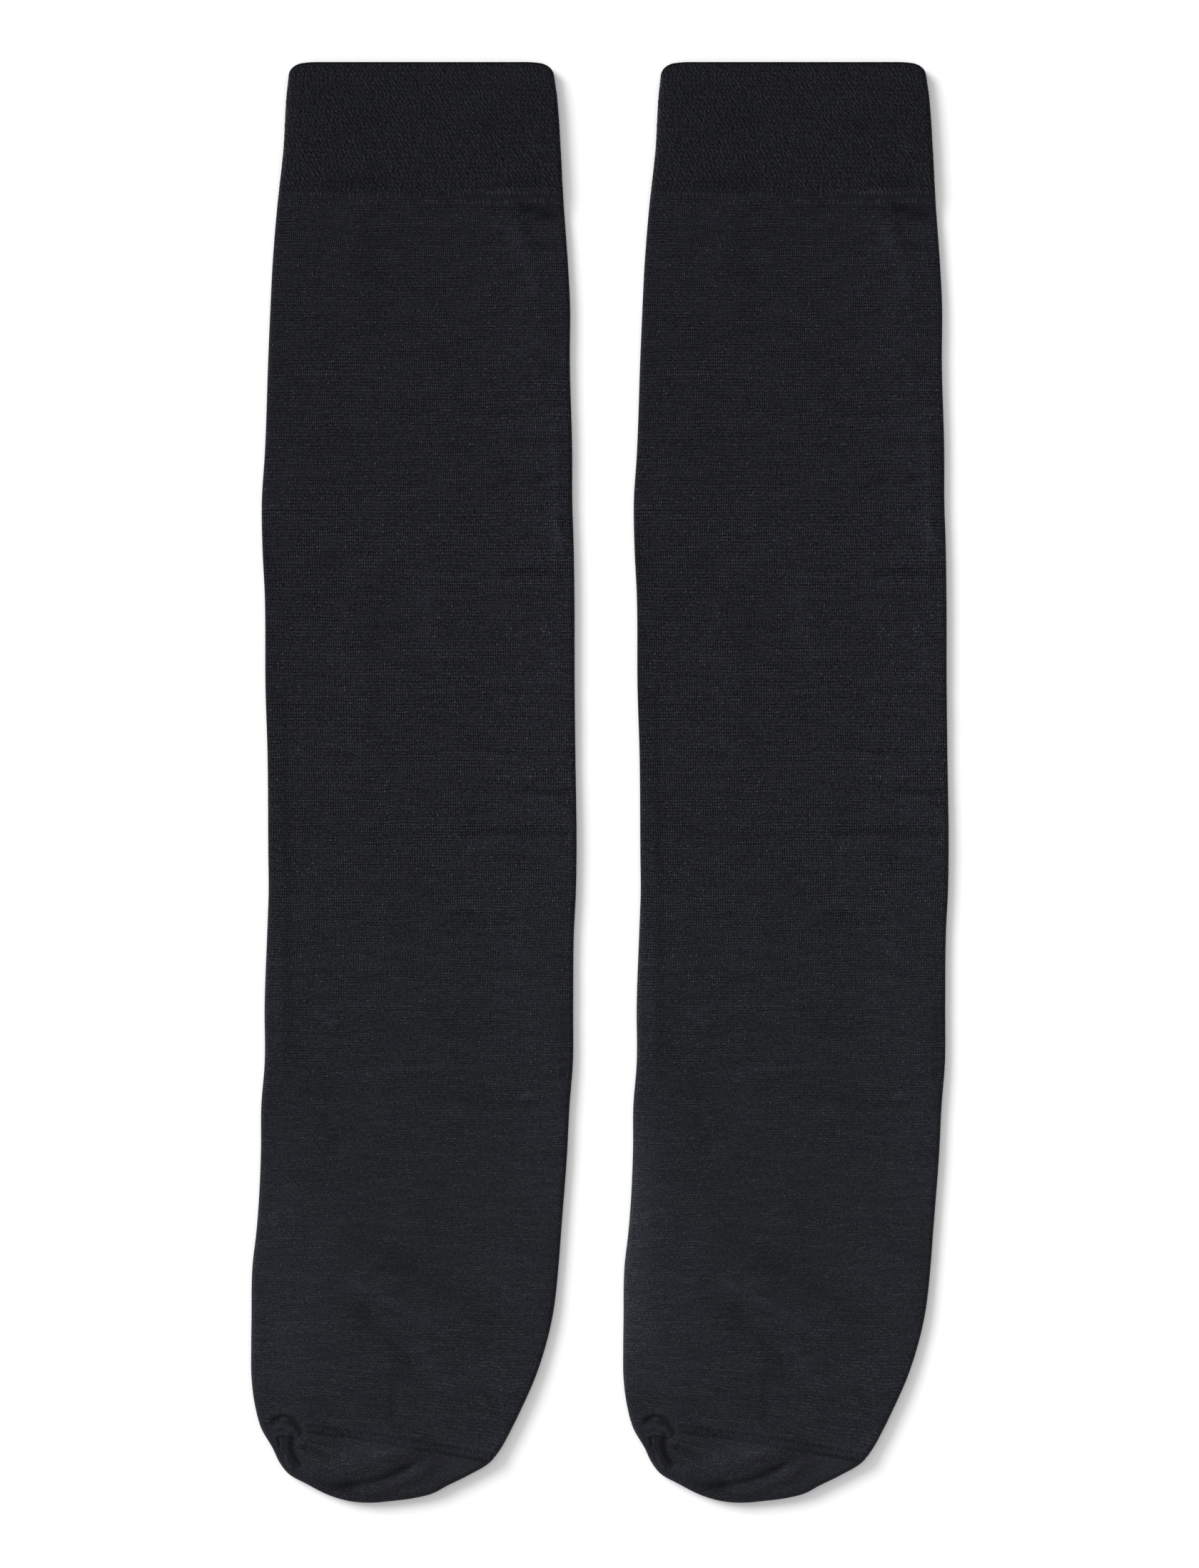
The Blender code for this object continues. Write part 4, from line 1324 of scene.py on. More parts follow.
@dataclass
class ToeCap(Piece):
    """The closed toe cap. Its rows run between the seam's two ends and swing from the seam to the outline.

    Attributes:
        rings: rings from the seam to the tip.
        edge_share: the share of the way at which the rings begin to close up towards the tip's fold.
        edge_rings: rings from there to the fold.
    """

    rings: int = 46
    edge_share: float = 0.90
    edge_rings: int = 12
    inner_rings: int = 12
    ring: RingPlan = RingPlan(roll_steps=9, fine_left=0.020, fine_step=0.0004, middle=118)

    def face(self, swings: Array, form: LaidForm, inner: bool) -> Grid:
        """The outer or the inner face.

        Args:
            swings: how far each row has swung from the seam to the outline, as shares of the way.
            form: the form whose outline they reach.
            inner: whether it is the inner face.

        Returns:
            Its grid, from the first row to the last.
        """
        shift = SEAM_GAP / 2
        ends = form.seam(shift, np.array([0.0, 1.0]))
        length = np.linalg.norm(ends[1] - ends[0], keepdims=True)
        shares = self.ring.faces(length, self.form)[0]
        near = form.seam(shift, shares)
        far = form.round_toe(SEAM_LEFT_DOWN + shift, SEAM_RIGHT_DOWN + shift, shares)
        rows = near + swings[:, None, None] * (far - near)
        heights = (self.lining if inner else self.tube)(rows, rows, KNIT_WALL, 0.0)
        courses = Leg.courses(np.array(SEAM_LEFT_DOWN)) + swings * self.course_count()
        shares = np.repeat(shares, len(swings), axis=0)
        plane = ring_points(rows, rows)
        stitches = ring_stitches(shares, shares, courses[:, None], float(WALES_ROUND))
        return self.plain(plane, heights, wandering(stitches, plane))

    def course_count(self) -> float:
        """Courses from the seam to the tip."""
        middle = (SEAM_LEFT_DOWN + SEAM_RIGHT_DOWN) / 2
        return float((SOCK_LENGTH - middle) / COURSE_PITCH[-1][1])

    def grid(self) -> Grid:
        """The cap from the hollow's closed tip out to the seam, and over the outside to the tip's fold."""
        turns = np.linspace(0.0, np.pi / 2, self.edge_rings)
        closing = self.edge_share + (1 - self.edge_share) * np.sin(turns)
        swings = np.concatenate([np.linspace(0.0, self.edge_share, self.rings)[:-1], closing])
        inner = self.face(np.linspace(1.0, 0.0, self.inner_rings), LaidForm(inset=KNIT_WALL), inner=True)
        return Grid.joined([inner, self.face(swings, self.form, inner=False)])


@dataclass
class LinkingBand(Piece):
    """The band of upright loops that links the cuff to the leg, all round the tube.

    Attributes:
        half_height: half of its height.
        proud: how far its middle stands out of the cloth.
        sunk: how far its ends lie inside the cloth, in units of proud.
        at_folds: how far it stands out at the side folds, as a share.
        back: how far its back lies inside the cloth.
        depth: how far its loops stand out from it.
        width: a loop's half width, as a share of its spacing.
        aside: how far loops stand out of their even places, in spacings.
        sway: how far they sway along their length.
        faintest: strength of the faintest loop.
        contrast: power that sets bold loops apart from faint ones.
        rows_down: rings of its face.
    """

    half_height: float = 0.0026
    proud: float = 0.00006
    sunk: float = 1.2
    at_folds: float = 0.35
    back: float = 0.00055
    depth: float = 0.00010
    width: float = 0.14
    aside: float = 0.30
    sway: float = 0.18
    faintest: float = 0.1
    contrast: float = 1.4
    rows_down: int = 19
    inner_rings: int = 5
    ring: RingPlan = RingPlan(roll_steps=9, fine_left=0.0, middle=500, under_middle=200)

    def crest(self, stitches: Array) -> Array:
        """Two rows of upright loops: a bell across each, swaying and unevenly strong, fading at its ends.

        Args:
            stitches: loop and place across the band round rings, rows x (columns + 1) x 2.

        Returns:
            From 0 between the loops to 1 on the boldest, rows x columns.
        """
        turn = 2 * stitches[:, :-1, 1]
        row = np.minimum(turn.astype(int), 1)
        loop = stitches[:, :-1, 0] + 0.5 * row
        nearest = np.round(loop).astype(int) % BAND_LOOPS_ROUND
        strength, aside, sway, start = np.random.default_rng(31).uniform(size=(4, 2, BAND_LOOPS_ROUND))
        place = row, nearest
        middle = self.aside * (aside[place] - 0.5)
        middle = middle + self.sway * sway[place] * np.sin(np.pi * (turn + 2 * start[place]))
        across = np.exp(-(((loop - np.round(loop) - middle) / self.width) ** 2))
        strength = self.faintest + (1 - self.faintest) * strength[place] ** self.contrast
        return across * np.sin(np.pi * (turn - row)) ** BLUNTNESS * strength

    def face(self, places: Array, wall: float) -> Grid:
        """The cloth's own face on the band's rows.

        Args:
            places: the rows' places across the band, from 0 at its start to 1 at its end.
            wall: the cloth's thickness.

        Returns:
            Its grid, from the first row to the last.
        """
        middle = (BAND_LEFT_DOWN + BAND_RIGHT_DOWN) / 2
        downs = middle + (2 * places - 1) * self.half_height
        left, right = self.form.left(downs)[:, None], self.form.right(downs)[:, None]
        rows, stitches = [], self.ring.faces((right - left)[:, 0], self.form)
        for shares in stitches:
            tilt = (BAND_LEFT_DOWN + shares * (BAND_RIGHT_DOWN - BAND_LEFT_DOWN)) - middle
            rows.append(np.stack([left + shares * (right - left), downs[:, None] + tilt], axis=-1))
        upper, under = rows
        heights = self.tube(upper, under, wall, self.cloth_lift(upper[..., 1]))
        loops = ring_stitches(*stitches, places[:, None], float(BAND_LOOPS_ROUND))
        return self.plain(ring_points(upper, under), heights, loops)

    @staticmethod
    def cloth_lift(downs: Array) -> Array:
        """The cuff's lift down to its end, and below it the leg's step, with a short slope between them."""
        cuff = 1 - smooth_step(CUFF_DEPTH - 0.0002, CUFF_DEPTH + 0.0012, downs)
        return Leg.step(downs) + (Cuff.lift - BAND_STEP) * cuff

    def grid(self) -> Grid:
        """The band once round its own thin section: its looped face, then its back inside the cloth.

        Its face is arched by a sine from end to end, and flatter at the side folds.
        """
        places = np.linspace(0.0, 1.0, self.rows_down)
        outer = self.face(places, KNIT_WALL)
        normals = outer.normals()
        level = smooth_step(0.3, 0.9, np.abs(normals[:, :, 2]))
        arch = (1 + self.sunk) * np.sin(np.pi * places)[:, None] - self.sunk
        proud = self.proud * arch * (self.at_folds + (1 - self.at_folds) * level)
        outer.points = outer.points + proud[:, :, None] * normals
        outer.crest = self.crest(outer.stitches)
        outer.raise_by(self.depth)
        inner = self.face(np.linspace(0.0, 1.0, self.inner_rings), KNIT_WALL)
        inner.points = inner.points - self.back * inner.normals()
        return Grid.joined([outer, inner.backwards()], closed=True)


KNOT_LEAN = ((1.0, 0.25), (0.45, 1.0))  # the seam's knots lie aslant
SEAM_KNOTS = Cloud(1.0, (0.00062, 0.0010), seed=41)
SEAM_FUZZ = Cloud(0.5, (0.0004, 0.0005), seed=42)


@dataclass
class ToeSeam(Piece):
    """The seam over the upper side of the toe: a rough linked band, and threads that zigzag along it.

    Attributes:
        half_width: half of the band's width.
        proud: how far its middle stands out.
        knots: how far its knots stand out.
        back: how far its back lies inside the cloth.
        back_width: its back's width, as a share of the band's.
        end: share of the seam's length that it leaves free at either end.
        closing: share of that length over which it narrows there.
        start: share at which its band has come out of the pucker, and is wide.
        narrow: the band's width before that, as a share of its full width.
        length: the seam's length, on which the threads' zigzags are counted.
        thread_radius: the threads' radius.
        thread_from: share of the seam's length at which the threads come out.
        thread_to: share at which they end.
        zigzag_steps: rings of a thread over one zigzag.
        sides: sides of a thread's tube.
        corners: how sharp a zigzag's corners are, up to 1.
        rows: rows of linking stitches across the band.
        knots_along: stitches along it.
        stations: rings of the band's mesh.
        across: points across its top.
    """

    half_width: float = 0.0027
    proud: float = 0.00011
    knots: float = 0.00014
    back: float = 0.0004
    back_width: float = 0.9
    end: float = 0.004
    closing: float = 0.02
    start: float = 0.20
    narrow: float = 0.14
    length: float = 0.088
    thread_radius: float = 0.00010
    thread_from: float = 0.20
    thread_to: float = 0.98
    zigzag_steps: int = 9
    sides: int = 6
    corners: float = 0.94
    rows: int = 4
    knots_along: int = 76
    stations: int = 420
    across: int = 25

    def on_cloth(self, shares: Array, shifts: Array) -> tuple[Array, Array]:
        """Places on the cloth beside the seam.

        Args:
            shares: shares of the seam's length.
            shifts: how far down from its line.

        Returns:
            The places in the plane, and the cloth's heights there.
        """
        plane = self.form.seam(shifts, shares)
        heights = self.form.upper(plane.reshape(-1, 2), KNIT_WALL).reshape(plane.shape[:-1])
        return plane, heights

    def band(self) -> Grid:
        """The linked band: knotty on top, with its back inside the cloth. Its narrowed ends stay open."""
        shares = np.linspace(self.end, 1 - self.end, self.stations)[:, None]
        place = np.linspace(-1.0, 1.0, self.across)
        from_end = np.minimum(shares, 1 - shares)
        widening = self.narrow + (1 - self.narrow) * smooth_step(self.start - 0.05, self.start, shares)
        closing = widening * np.sin(np.pi / 2 * np.clip(from_end / self.closing, 0.0, 1.0))
        over, top = self.on_cloth(shares, self.half_width * place * closing)
        back, bottom = self.on_cloth(shares, self.half_width * self.back_width * place[::-4] * closing)
        flat = over.reshape(-1, 2)
        rough = SEAM_KNOTS.at(flat @ np.array(KNOT_LEAN)) + SEAM_FUZZ.at(flat)
        shown = smooth_step(self.start - 0.05, self.start + 0.08, shares)
        crest = np.clip(0.5 + 0.55 * shown * rough.reshape(top.shape), 0.0, 1.0)
        swelling = 1 - place**2
        top = top + shown * self.proud * (2 * swelling - 1) + self.knots * (crest - 0.5) * swelling**0.3
        points = np.concatenate([world_points(over, top), world_points(back, bottom - self.back)], axis=1)
        crest = np.concatenate([crest, np.full(back.shape[:2], 0.5)], axis=1)
        rows = 1 + self.rows * (1 + np.concatenate([place, place[::-4], place[:1]])) / 2
        stitches = np.stack(np.broadcast_arrays(shares * self.knots_along, rows), axis=-1)
        return Grid(points[:, ::-1], np.roll(stitches[:, ::-1], -1, axis=1), crest[:, ::-1])

    def thread(self, period: float, reach: float, shift: float, seed: int) -> Grid:
        """A thread that zigzags along the seam, unevenly, as a round tube.

        Its line is a triangle wave with softened corners. Round it, points lie at the thread's radius along
        the sideways and upward directions of its line.

        Args:
            period: length of one zigzag.
            reach: how far it swings to either side.
            shift: how far down from the seam's line it runs.
            seed: picks its unevenness, with the next seed.

        Returns:
            The tube's grid.
        """
        turns = self.length / period
        shares = np.linspace(self.thread_from, self.thread_to, round(turns * self.zigzag_steps))
        along = np.column_stack([shares, shares])
        phase = shares * turns + Cloud(0.30, (0.012, 0.012), seed).at(along)
        swing = np.arcsin(self.corners * np.sin(2 * np.pi * phase)) / (np.pi / 2)
        size = 1 + Cloud(0.35, (0.02, 0.02), seed + 1).at(along)
        plane, height = self.on_cloth(shares, shift + reach * swing * size)
        line = world_points(plane, height + 0.6 * self.proud + 0.6 * self.thread_radius)
        ahead = np.gradient(line, axis=0)
        ahead /= np.linalg.norm(ahead, axis=1)[:, None]
        aside = np.cross(ahead, (0.0, 0.0, 1.0))
        aside /= np.linalg.norm(aside, axis=1)[:, None]
        upward = np.cross(aside, ahead)
        angle = np.linspace(0.0, 2 * np.pi, self.sides + 1)[:-1]
        from_end = np.minimum(shares - self.thread_from, self.thread_to - shares)
        ends = np.sin(np.pi / 2 * np.clip(from_end / 0.003 + 0.05, 0.0, 1.0))
        radius = self.thread_radius * ends[:, None, None]
        round_it = np.cos(angle)[:, None] * aside[:, None, :] + np.sin(angle)[:, None] * upward[:, None, :]
        stitches = np.zeros((len(shares), len(angle) + 1, 2))
        stitches[..., 0] = shares[:, None] * WALES_ROUND / 2
        return Grid(line[:, None, :] + radius * round_it, stitches, np.full((len(shares), len(angle)), 0.85))

    def grids(self) -> list[Grid]:
        """The band and its threads."""
        return [
            self.band(),
            self.thread(period=0.00125, reach=0.0008, shift=-0.0010, seed=51),
            self.thread(period=0.00140, reach=0.0008, shift=0.0009, seed=53),
        ]


@dataclass(frozen=True)
class Term:
    """A number that varies over a surface. Python's operators on it add Math nodes."""

    shader: "Shader"
    socket: Socket

    def math(self, operation: str, *others: "Term | float") -> "Term":
        """The result of a Math node on this number and the others.

        Args:
            operation: the node's operation.
            others: the numbers for its other sockets.

        Returns:
            The result.
        """
        values = dict(enumerate((self, *others)))
        node = self.shader.add("ShaderNodeMath", {"operation": operation}, values)
        return Term(self.shader, node.outputs[0])

    def __add__(self, other: "Term | float") -> "Term":
        """self + other."""
        return self.math("ADD", other)

    __radd__ = __add__

    def __sub__(self, other: "Term | float") -> "Term":
        """self - other."""
        return self.math("SUBTRACT", other)

    def __rsub__(self, other: float) -> "Term":
        """other - self."""
        return (self * -1.0).math("ADD", other)

    def __mul__(self, other: "Term | float") -> "Term":
        """self * other."""
        return self.math("MULTIPLY", other)

    __rmul__ = __mul__

    def __truediv__(self, other: float) -> "Term":
        """self / other."""
        return self.math("DIVIDE", other)

    def __pow__(self, other: float) -> "Term":
        """self to a power."""
        return self.math("POWER", other)

    def __abs__(self) -> "Term":
        """The number without its sign."""
        return self.math("ABSOLUTE")

    def floor(self) -> "Term":
        """The whole number below."""
        return self.math("FLOOR")

    def fract(self) -> "Term":
        """What is left over the whole number below."""
        return self.math("FRACT")

    def sine(self) -> "Term":
        """The sine of the number."""
        return self.math("SINE")

    def at_least(self, other: float) -> "Term":
        """The number, or other where that is greater."""
        return self.math("MAXIMUM", other)

    def crest(self) -> "Term":
        """A squared cosine: 1 at zero, falling to 0 half a unit to either side and beyond."""
        held = self.math("MAXIMUM", -0.5).math("MINIMUM", 0.5)
        return (held * math.pi).math("COSINE") ** 2.0

    def between(self, low: float, high: float) -> "Term":
        """A smooth step from 0 at low to 1 at high."""
        values = {"Value": self, "From Min": low, "From Max": high}
        node = self.shader.add("ShaderNodeMapRange", {"interpolation_type": "SMOOTHSTEP"}, values)
        return Term(self.shader, node.outputs["Result"])


class Shader:
    """A material's node tree, and the one method that adds nodes to it."""

    def __init__(self, name: str) -> None:
        """Makes the material with its Principled surface."""
        self.material = bpy.data.materials.new(name)
        self.material.use_nodes = True
        self.tree = self.material.node_tree
        self.surface = self.tree.nodes["Principled BSDF"]

    def add(self, kind: str, settings: dict, values: dict) -> bpy.types.Node:
        """A new node.

        Args:
            kind: the node's type.
            settings: its own properties, set first.
            values: for each socket's name or index, a value, a Term or another node's socket.

        Returns:
            The node.
        """
        node = self.tree.nodes.new(kind)
        for key, value in settings.items():
            setattr(node, key, value)
        self.fill(node, values)
        return node

    def fill(self, node: bpy.types.Node, values: dict) -> None:
        """Sets or links a node's sockets.

        Args:
            node: the node.
            values: as for add.
        """
        for key, value in values.items():
            if isinstance(value, Term):
                value = value.socket
            if isinstance(value, Socket):
                self.tree.links.new(value, node.inputs[key])
            else:
                node.inputs[key].default_value = value

    def attribute(self, name: str) -> Term:
        """A number that the mesh carries at its points."""
        node = self.add("ShaderNodeAttribute", {"attribute_name": name}, {})
        return Term(self, node.outputs["Fac"])

    def stitch_map(self) -> tuple[Term, Term]:
        """Wale and course from the mesh's own map."""
        uv = self.add("ShaderNodeUVMap", {"uv_map": STITCHES}, {}).outputs[0]
        split = self.add("ShaderNodeSeparateXYZ", {}, {0: uv})
        return Term(self, split.outputs[0]), Term(self, split.outputs[1])

    def plan(self) -> tuple[Term, Term]:
        """The place seen from above, in metres."""
        place = self.add("ShaderNodeTexCoord", {}, {}).outputs["Object"]
        split = self.add("ShaderNodeSeparateXYZ", {}, {0: place})
        return Term(self, split.outputs[0]), Term(self, split.outputs[1])

    def pair(self, x: Term, y: Term) -> Socket:
        """Two numbers as a vector."""
        return self.add("ShaderNodeCombineXYZ", {}, {0: x, 1: y}).outputs[0]

    def noise(self, x: Term, y: Term) -> Term:
        """Soft noise from 0 to 1 over a plane of two numbers, in cells of one unit."""
        values = {"Vector": self.pair(x, y), "Scale": 1.0, "Detail": 0.0}
        node = self.add("ShaderNodeTexNoise", {"noise_dimensions": "2D"}, values)
        return Term(self, node.outputs["Fac"])

    def swings(self, x: Term, y: Term) -> Term:
        """Noise from -1 to 1 that dwells near both ends."""
        return self.noise(x, y).between(0.30, 0.70) * 2.0 - 1.0

    def chance(self, x: Term, y: Term) -> Term:
        """A random number from 0 to 1 for each pair of numbers."""
        values = {"Vector": self.pair(x, y)}
        node = self.add("ShaderNodeTexWhiteNoise", {"noise_dimensions": "2D"}, values)
        return Term(self, node.outputs["Value"])

    def mix(self, start: object, end: object, share: Term) -> Socket:
        """A colour between two colours."""
        values = {"Factor": share, 6: start, 7: end}
        return self.add("ShaderNodeMix", {"data_type": "RGBA"}, values).outputs[2]

    def tinted(self, color: Socket, tint: Socket) -> Socket:
        """A colour times another colour."""
        return self.add("ShaderNodeVectorMath", {"operation": "MULTIPLY"}, {0: color, 1: tint}).outputs[0]

    def scaled(self, color: Socket, factor: Term) -> Socket:
        """A colour times a number."""
        values = {0: color, "Scale": factor}
        return self.add("ShaderNodeVectorMath", {"operation": "SCALE"}, values).outputs[0]


@dataclass(frozen=True)
class KnitFinish:
    """The finish of one kind of knit.

    A stitch pattern gives each place a brightness of about 1: its bright stitches are partly a painted
    highlight on the yarn, and its dark gaps painted shade between them. The yarn's hue goes from shade to
    shine as the brightness grows. The base colour is that hue times the albedo, the brightness and the mesh's
    own tone, which also carries painted shade and highlight of folds and creases.

    Attributes:
        name: the material's name.
        slot: the record's material slot, not used.
        albedo: the yarn's mean albedo.
        relief: how deep the bump of the stitches is.
        shade: hue of dark places.
        shine: hue of bright places.
        cool: cast of one kind of patch.
        warm: cast of the other kind.
        low: cast of the foot.
        evenness: how far the foot's even cast replaces the patches.
        roughness: the surface's roughness.
        specular: how strongly it mirrors light.
        sheen: strength of its sheen at grazing angles.
    """

    name: str
    slot: str
    albedo: float
    relief: float = 0.00005
    shade: Color = (0.90, 0.93, 1.325, 1.0)
    shine: Color = (0.98, 1.04, 1.255, 1.0)
    cool: Color = (0.922, 1.035, 0.985, 1.0)
    warm: Color = (1.078, 0.965, 1.015, 1.0)
    low: Color = (0.976, 1.024, 0.966, 1.0)
    evenness: float = 1.0
    roughness: float = 0.85
    specular: float = 0.05
    sheen: float = 0.02

    def brightness(self, shader: Shader) -> Term:
        """The stitch pattern's brightness, about 1 in the mean.

        Args:
            shader: the material's nodes.

        Returns:
            The brightness.
        """
        raise NotImplementedError

    def cast(self, shader: Shader) -> Socket:
        """Small patches of a warmer and a cooler cast, which give way to an even cast at the foot.

        Args:
            shader: the material's nodes.

        Returns:
            A colour to multiply the yarn's by.
        """
        x, y = shader.plan()
        patch = shader.noise(x * PATCHES_PER_METRE, y * PATCHES_PER_METRE).between(0.3, 0.7)
        patches = shader.mix(self.cool, self.warm, patch)
        return shader.mix(patches, self.low, (1.0 - y.between(*CAST_RUN)) * self.evenness)

    def material(self) -> bpy.types.Material:
        """Builds the material: colour from the pattern and the tone, with a shallow bump of the pattern."""
        shader = Shader(self.name)
        bright = self.brightness(shader)
        hue = shader.mix(self.shade, self.shine, bright.between(0.4, 1.8))
        hue = shader.tinted(hue, self.cast(shader))
        # painted shade and highlight reach the base colour through the pattern's brightness and the tone
        color = shader.scaled(hue, bright * shader.attribute(TONE_AND_PAINTED_SHADING) * self.albedo)
        bump = shader.add("ShaderNodeBump", {}, {"Strength": 1.0, "Distance": self.relief, "Height": bright})
        shader.fill(
            shader.surface,
            {
                "Base Color": color,
                "Roughness": self.roughness,
                "Specular IOR Level": self.specular,
                "Sheen Weight": self.sheen,
                "Sheen Roughness": 0.5,
                "Normal": bump.outputs[0],
            },
        )
        return shader.material


@dataclass(frozen=True)
class PlainLook:
    """How plain knit looks in one part of the sock. Brightness is in units of the mean's.

    Attributes:
        base: brightness before all else.
        lean: how far a stitch's legs rise from its edge to its middle, in courses.
        jitter: how far stitches stand above or below their course.
        sharp: how thin the bright line along each course is.
        bars: swing of brightness across each wale.
        bar_runs: how unevenly strong the bars are.
        heads: brightness of a stitch's head, a painted highlight on the yarn.
        head_runs: how unevenly strong the heads are.
        long_runs: swing of brightness over long runs of a course.
        chances: swing of brightness from stitch to stitch.
        fuzz: swing of brightness from fibre to fibre.
        gaps: painted shade in the gaps between courses.
        gap_power: how thin that painted shade is.
        sparks: painted glints on the brightest runs of heads.
        specks: brightness of the few brightest stitches, partly lint and partly painted glints.
        mean: the pattern's own mean.
    """

    base: Term | float
    lean: Term | float
    jitter: Term | float
    sharp: Term | float
    bars: Term | float
    bar_runs: Term | float
    heads: Term | float
    head_runs: Term | float
    long_runs: Term | float
    chances: Term | float
    fuzz: Term | float
    gaps: Term | float
    gap_power: Term | float
    sparks: Term | float
    specks: Term | float
    mean: Term | float

    def towards(self, other: "PlainLook", share: Term) -> "PlainLook":
        """A look between this one and another."""
        pairs = zip(astuple(self), astuple(other))
        return PlainLook(*(start + share * (end - start) for start, end in pairs))


LEG_LOOK = PlainLook(
    base=0.60,
    lean=0.46,
    jitter=0.26,
    sharp=2.1,
    bars=0.35,
    bar_runs=0.60,
    heads=0.18,
    head_runs=0.70,
    long_runs=0.12,
    chances=1.22,
    fuzz=0.90,
    gaps=0.26,
    gap_power=3.3,
    sparks=0.45,
    specks=2.20,
    mean=0.545,
)
FOOT_LOOK = PlainLook(
    base=0.65,
    lean=0.26,
    jitter=0.42,
    sharp=1.7,
    bars=0.0,
    bar_runs=0.0,
    heads=0.0,
    head_runs=0.0,
    long_runs=0.05,
    chances=0.82,
    fuzz=0.58,
    gaps=0.17,
    gap_power=1.5,
    sparks=0.56,
    specks=0.60,
    mean=0.600,
)


# Noise cells to a stitch and to a course: how long the runs are in which a course looks alike
LONG_RUNS = (0.036, 7.31)
SHORT_RUNS = (0.08, 5.17)
GAP_RUNS = (0.07, 3.37)
SPECKS = (0.981, 0.992)  # stitches whose chance lies between or above are the few brightest: partly lint, partly painted glints


@dataclass(frozen=True)
class PlainKnit(KnitFinish):
    """Plain knit: stitch heads in upright wales, in courses that light and shade unevenly.

    Attributes:
        leg: its look on the leg, where each stitch shows.
        foot: its look on the foot, where the knit looks closer and calmer.
        calm: courses over which the leg's look gives way to the foot's.
    """

    leg: PlainLook = LEG_LOOK
    foot: PlainLook = FOOT_LOOK
    calm: Pair = (205.0, 375.0)

    def brightness(self, shader: Shader) -> Term:
        """The sum of bars, heads, runs, chance, fibres, gaps, sparks and specks."""
        wale, course = shader.stitch_map()
        calmed = course.between(*self.calm)
        look = self.leg.towards(self.foot, calmed)
        column = wale.floor()
        beside = wale - column - 0.5
        leaning = course + abs(beside) * look.lean
        row = leaning.floor()
        chance, other = shader.chance(column, row), shader.chance(column + 0.5, row)
        across = beside.crest()
        along = (leaning - row - 0.5 + (other - 0.5) * look.jitter).crest()
        line = along**look.sharp
        head = across * line
        long_runs = shader.swings(wale * LONG_RUNS[0], row * LONG_RUNS[1])
        short_runs = shader.swings(wale * SHORT_RUNS[0], row * SHORT_RUNS[1])
        gap_runs = shader.swings(wale * GAP_RUNS[0], row * GAP_RUNS[1])
        long_fibre = shader.noise(wale * 1.3, leaning * 3.0) - 0.5
        fibre = long_fibre + calmed * (shader.noise(wale * 2.0, leaning * 1.7) - 0.5 - long_fibre)
        value = look.base + look.bars * (across - 0.5) * (1.0 + look.bar_runs * short_runs)
        # the heads: a painted highlight on the yarn
        value = value + look.heads * (head - 0.2) * (1.0 + look.head_runs * short_runs)
        value = value + look.long_runs * (line - 0.35) * long_runs
        value = value + look.chances * (chance - 0.5) * head + look.fuzz * fibre
        # the gaps: painted shade between the courses
        value = value - look.gaps * (1.0 - along) ** look.gap_power * (1.0 - 0.5 * gap_runs)
        # sparks are painted glints; specks are partly lint and partly painted glints
        spark = look.sparks * head * (long_runs + 0.5 * short_runs).between(0.1, 1.0) * chance
        speck = look.specks * chance.between(*SPECKS) * head
        return (value.at_least(0.05) + spark + speck) / look.mean


@dataclass(frozen=True)
class SlantedKnit(KnitFinish):
    """The cuff's elastic knit: rows of slanted stitches on a darker ground, at the mesh's own places.

    Attributes:
        slants: how many stitches a stitch leans across over one row, in even and in odd rows.
        ground: brightness between the stitches, their painted shade.
        stroke: brightness of a stitch over the ground, partly a painted highlight on the yarn.
        strengths: how bright the faintest stitch is, and how much brighter the boldest, as shares of that.
        edge: where a stitch begins and ends to fade aside, in spacings from its middle.
        jitter: how far stitches stand aside, in spacings.
        fuzz: swing of brightness from fibre to fibre.
    """

    slants: Pair = (CUFF_SLANT, CUFF_SLANT)
    ground: float = 0.59
    stroke: float = 1.50
    strengths: Pair = (0.25, 0.78)
    edge: Pair = (0.02, 0.26)
    jitter: float = 0.28
    fuzz: float = 2.0

    def brightness(self, shader: Shader) -> Term:
        """The ground, the slanted strokes and the fibres."""
        wale, course = shader.stitch_map()
        row = course.floor()
        along = course.fract()
        even, odd = self.slants
        slant = even + (odd - even) * (row * 0.5).fract() * 2.0
        place = wale - stack_shift(row, Term.sine) - slant * (along - 0.5)
        column = (place + 0.5).floor()
        chance, other = shader.chance(column, row), shader.chance(column + 0.5, row)
        beside = abs(place - column + (other - 0.5) * self.jitter)
        stroke = (1.0 - beside.between(*self.edge)) * (along * math.pi).sine() ** BLUNTNESS
        fibre = shader.noise(place * 3.2, course * 3.0) - 0.5
        faintest, more = self.strengths
        value = self.ground + self.stroke * stroke * (faintest + more * chance) + self.fuzz * fibre
        return value.at_least(0.08)


@dataclass(frozen=True)
class RaisedKnit(KnitFinish):
    """Loops and threads that the mesh itself has, read from its crest, with fibres.

    Attributes:
        ground: brightness between the loops, their painted shade.
        loop: brightness of a loop's crest over the ground, a painted highlight where the mesh is raised.
        fuzz: swing of brightness from fibre to fibre.
        fibres: how many fibres lie in a metre.
    """

    ground: float = 0.74
    loop: float = 1.90
    fuzz: float = 1.5
    fibres: float = 2600.0

    def brightness(self, shader: Shader) -> Term:
        """The ground, the loops and the fibres."""
        x, y = shader.plan()
        fibre = shader.noise(x * self.fibres, y * self.fibres) - 0.5
        return (self.ground + self.loop * shader.attribute(CREST) + self.fuzz * fibre).at_least(0.08)


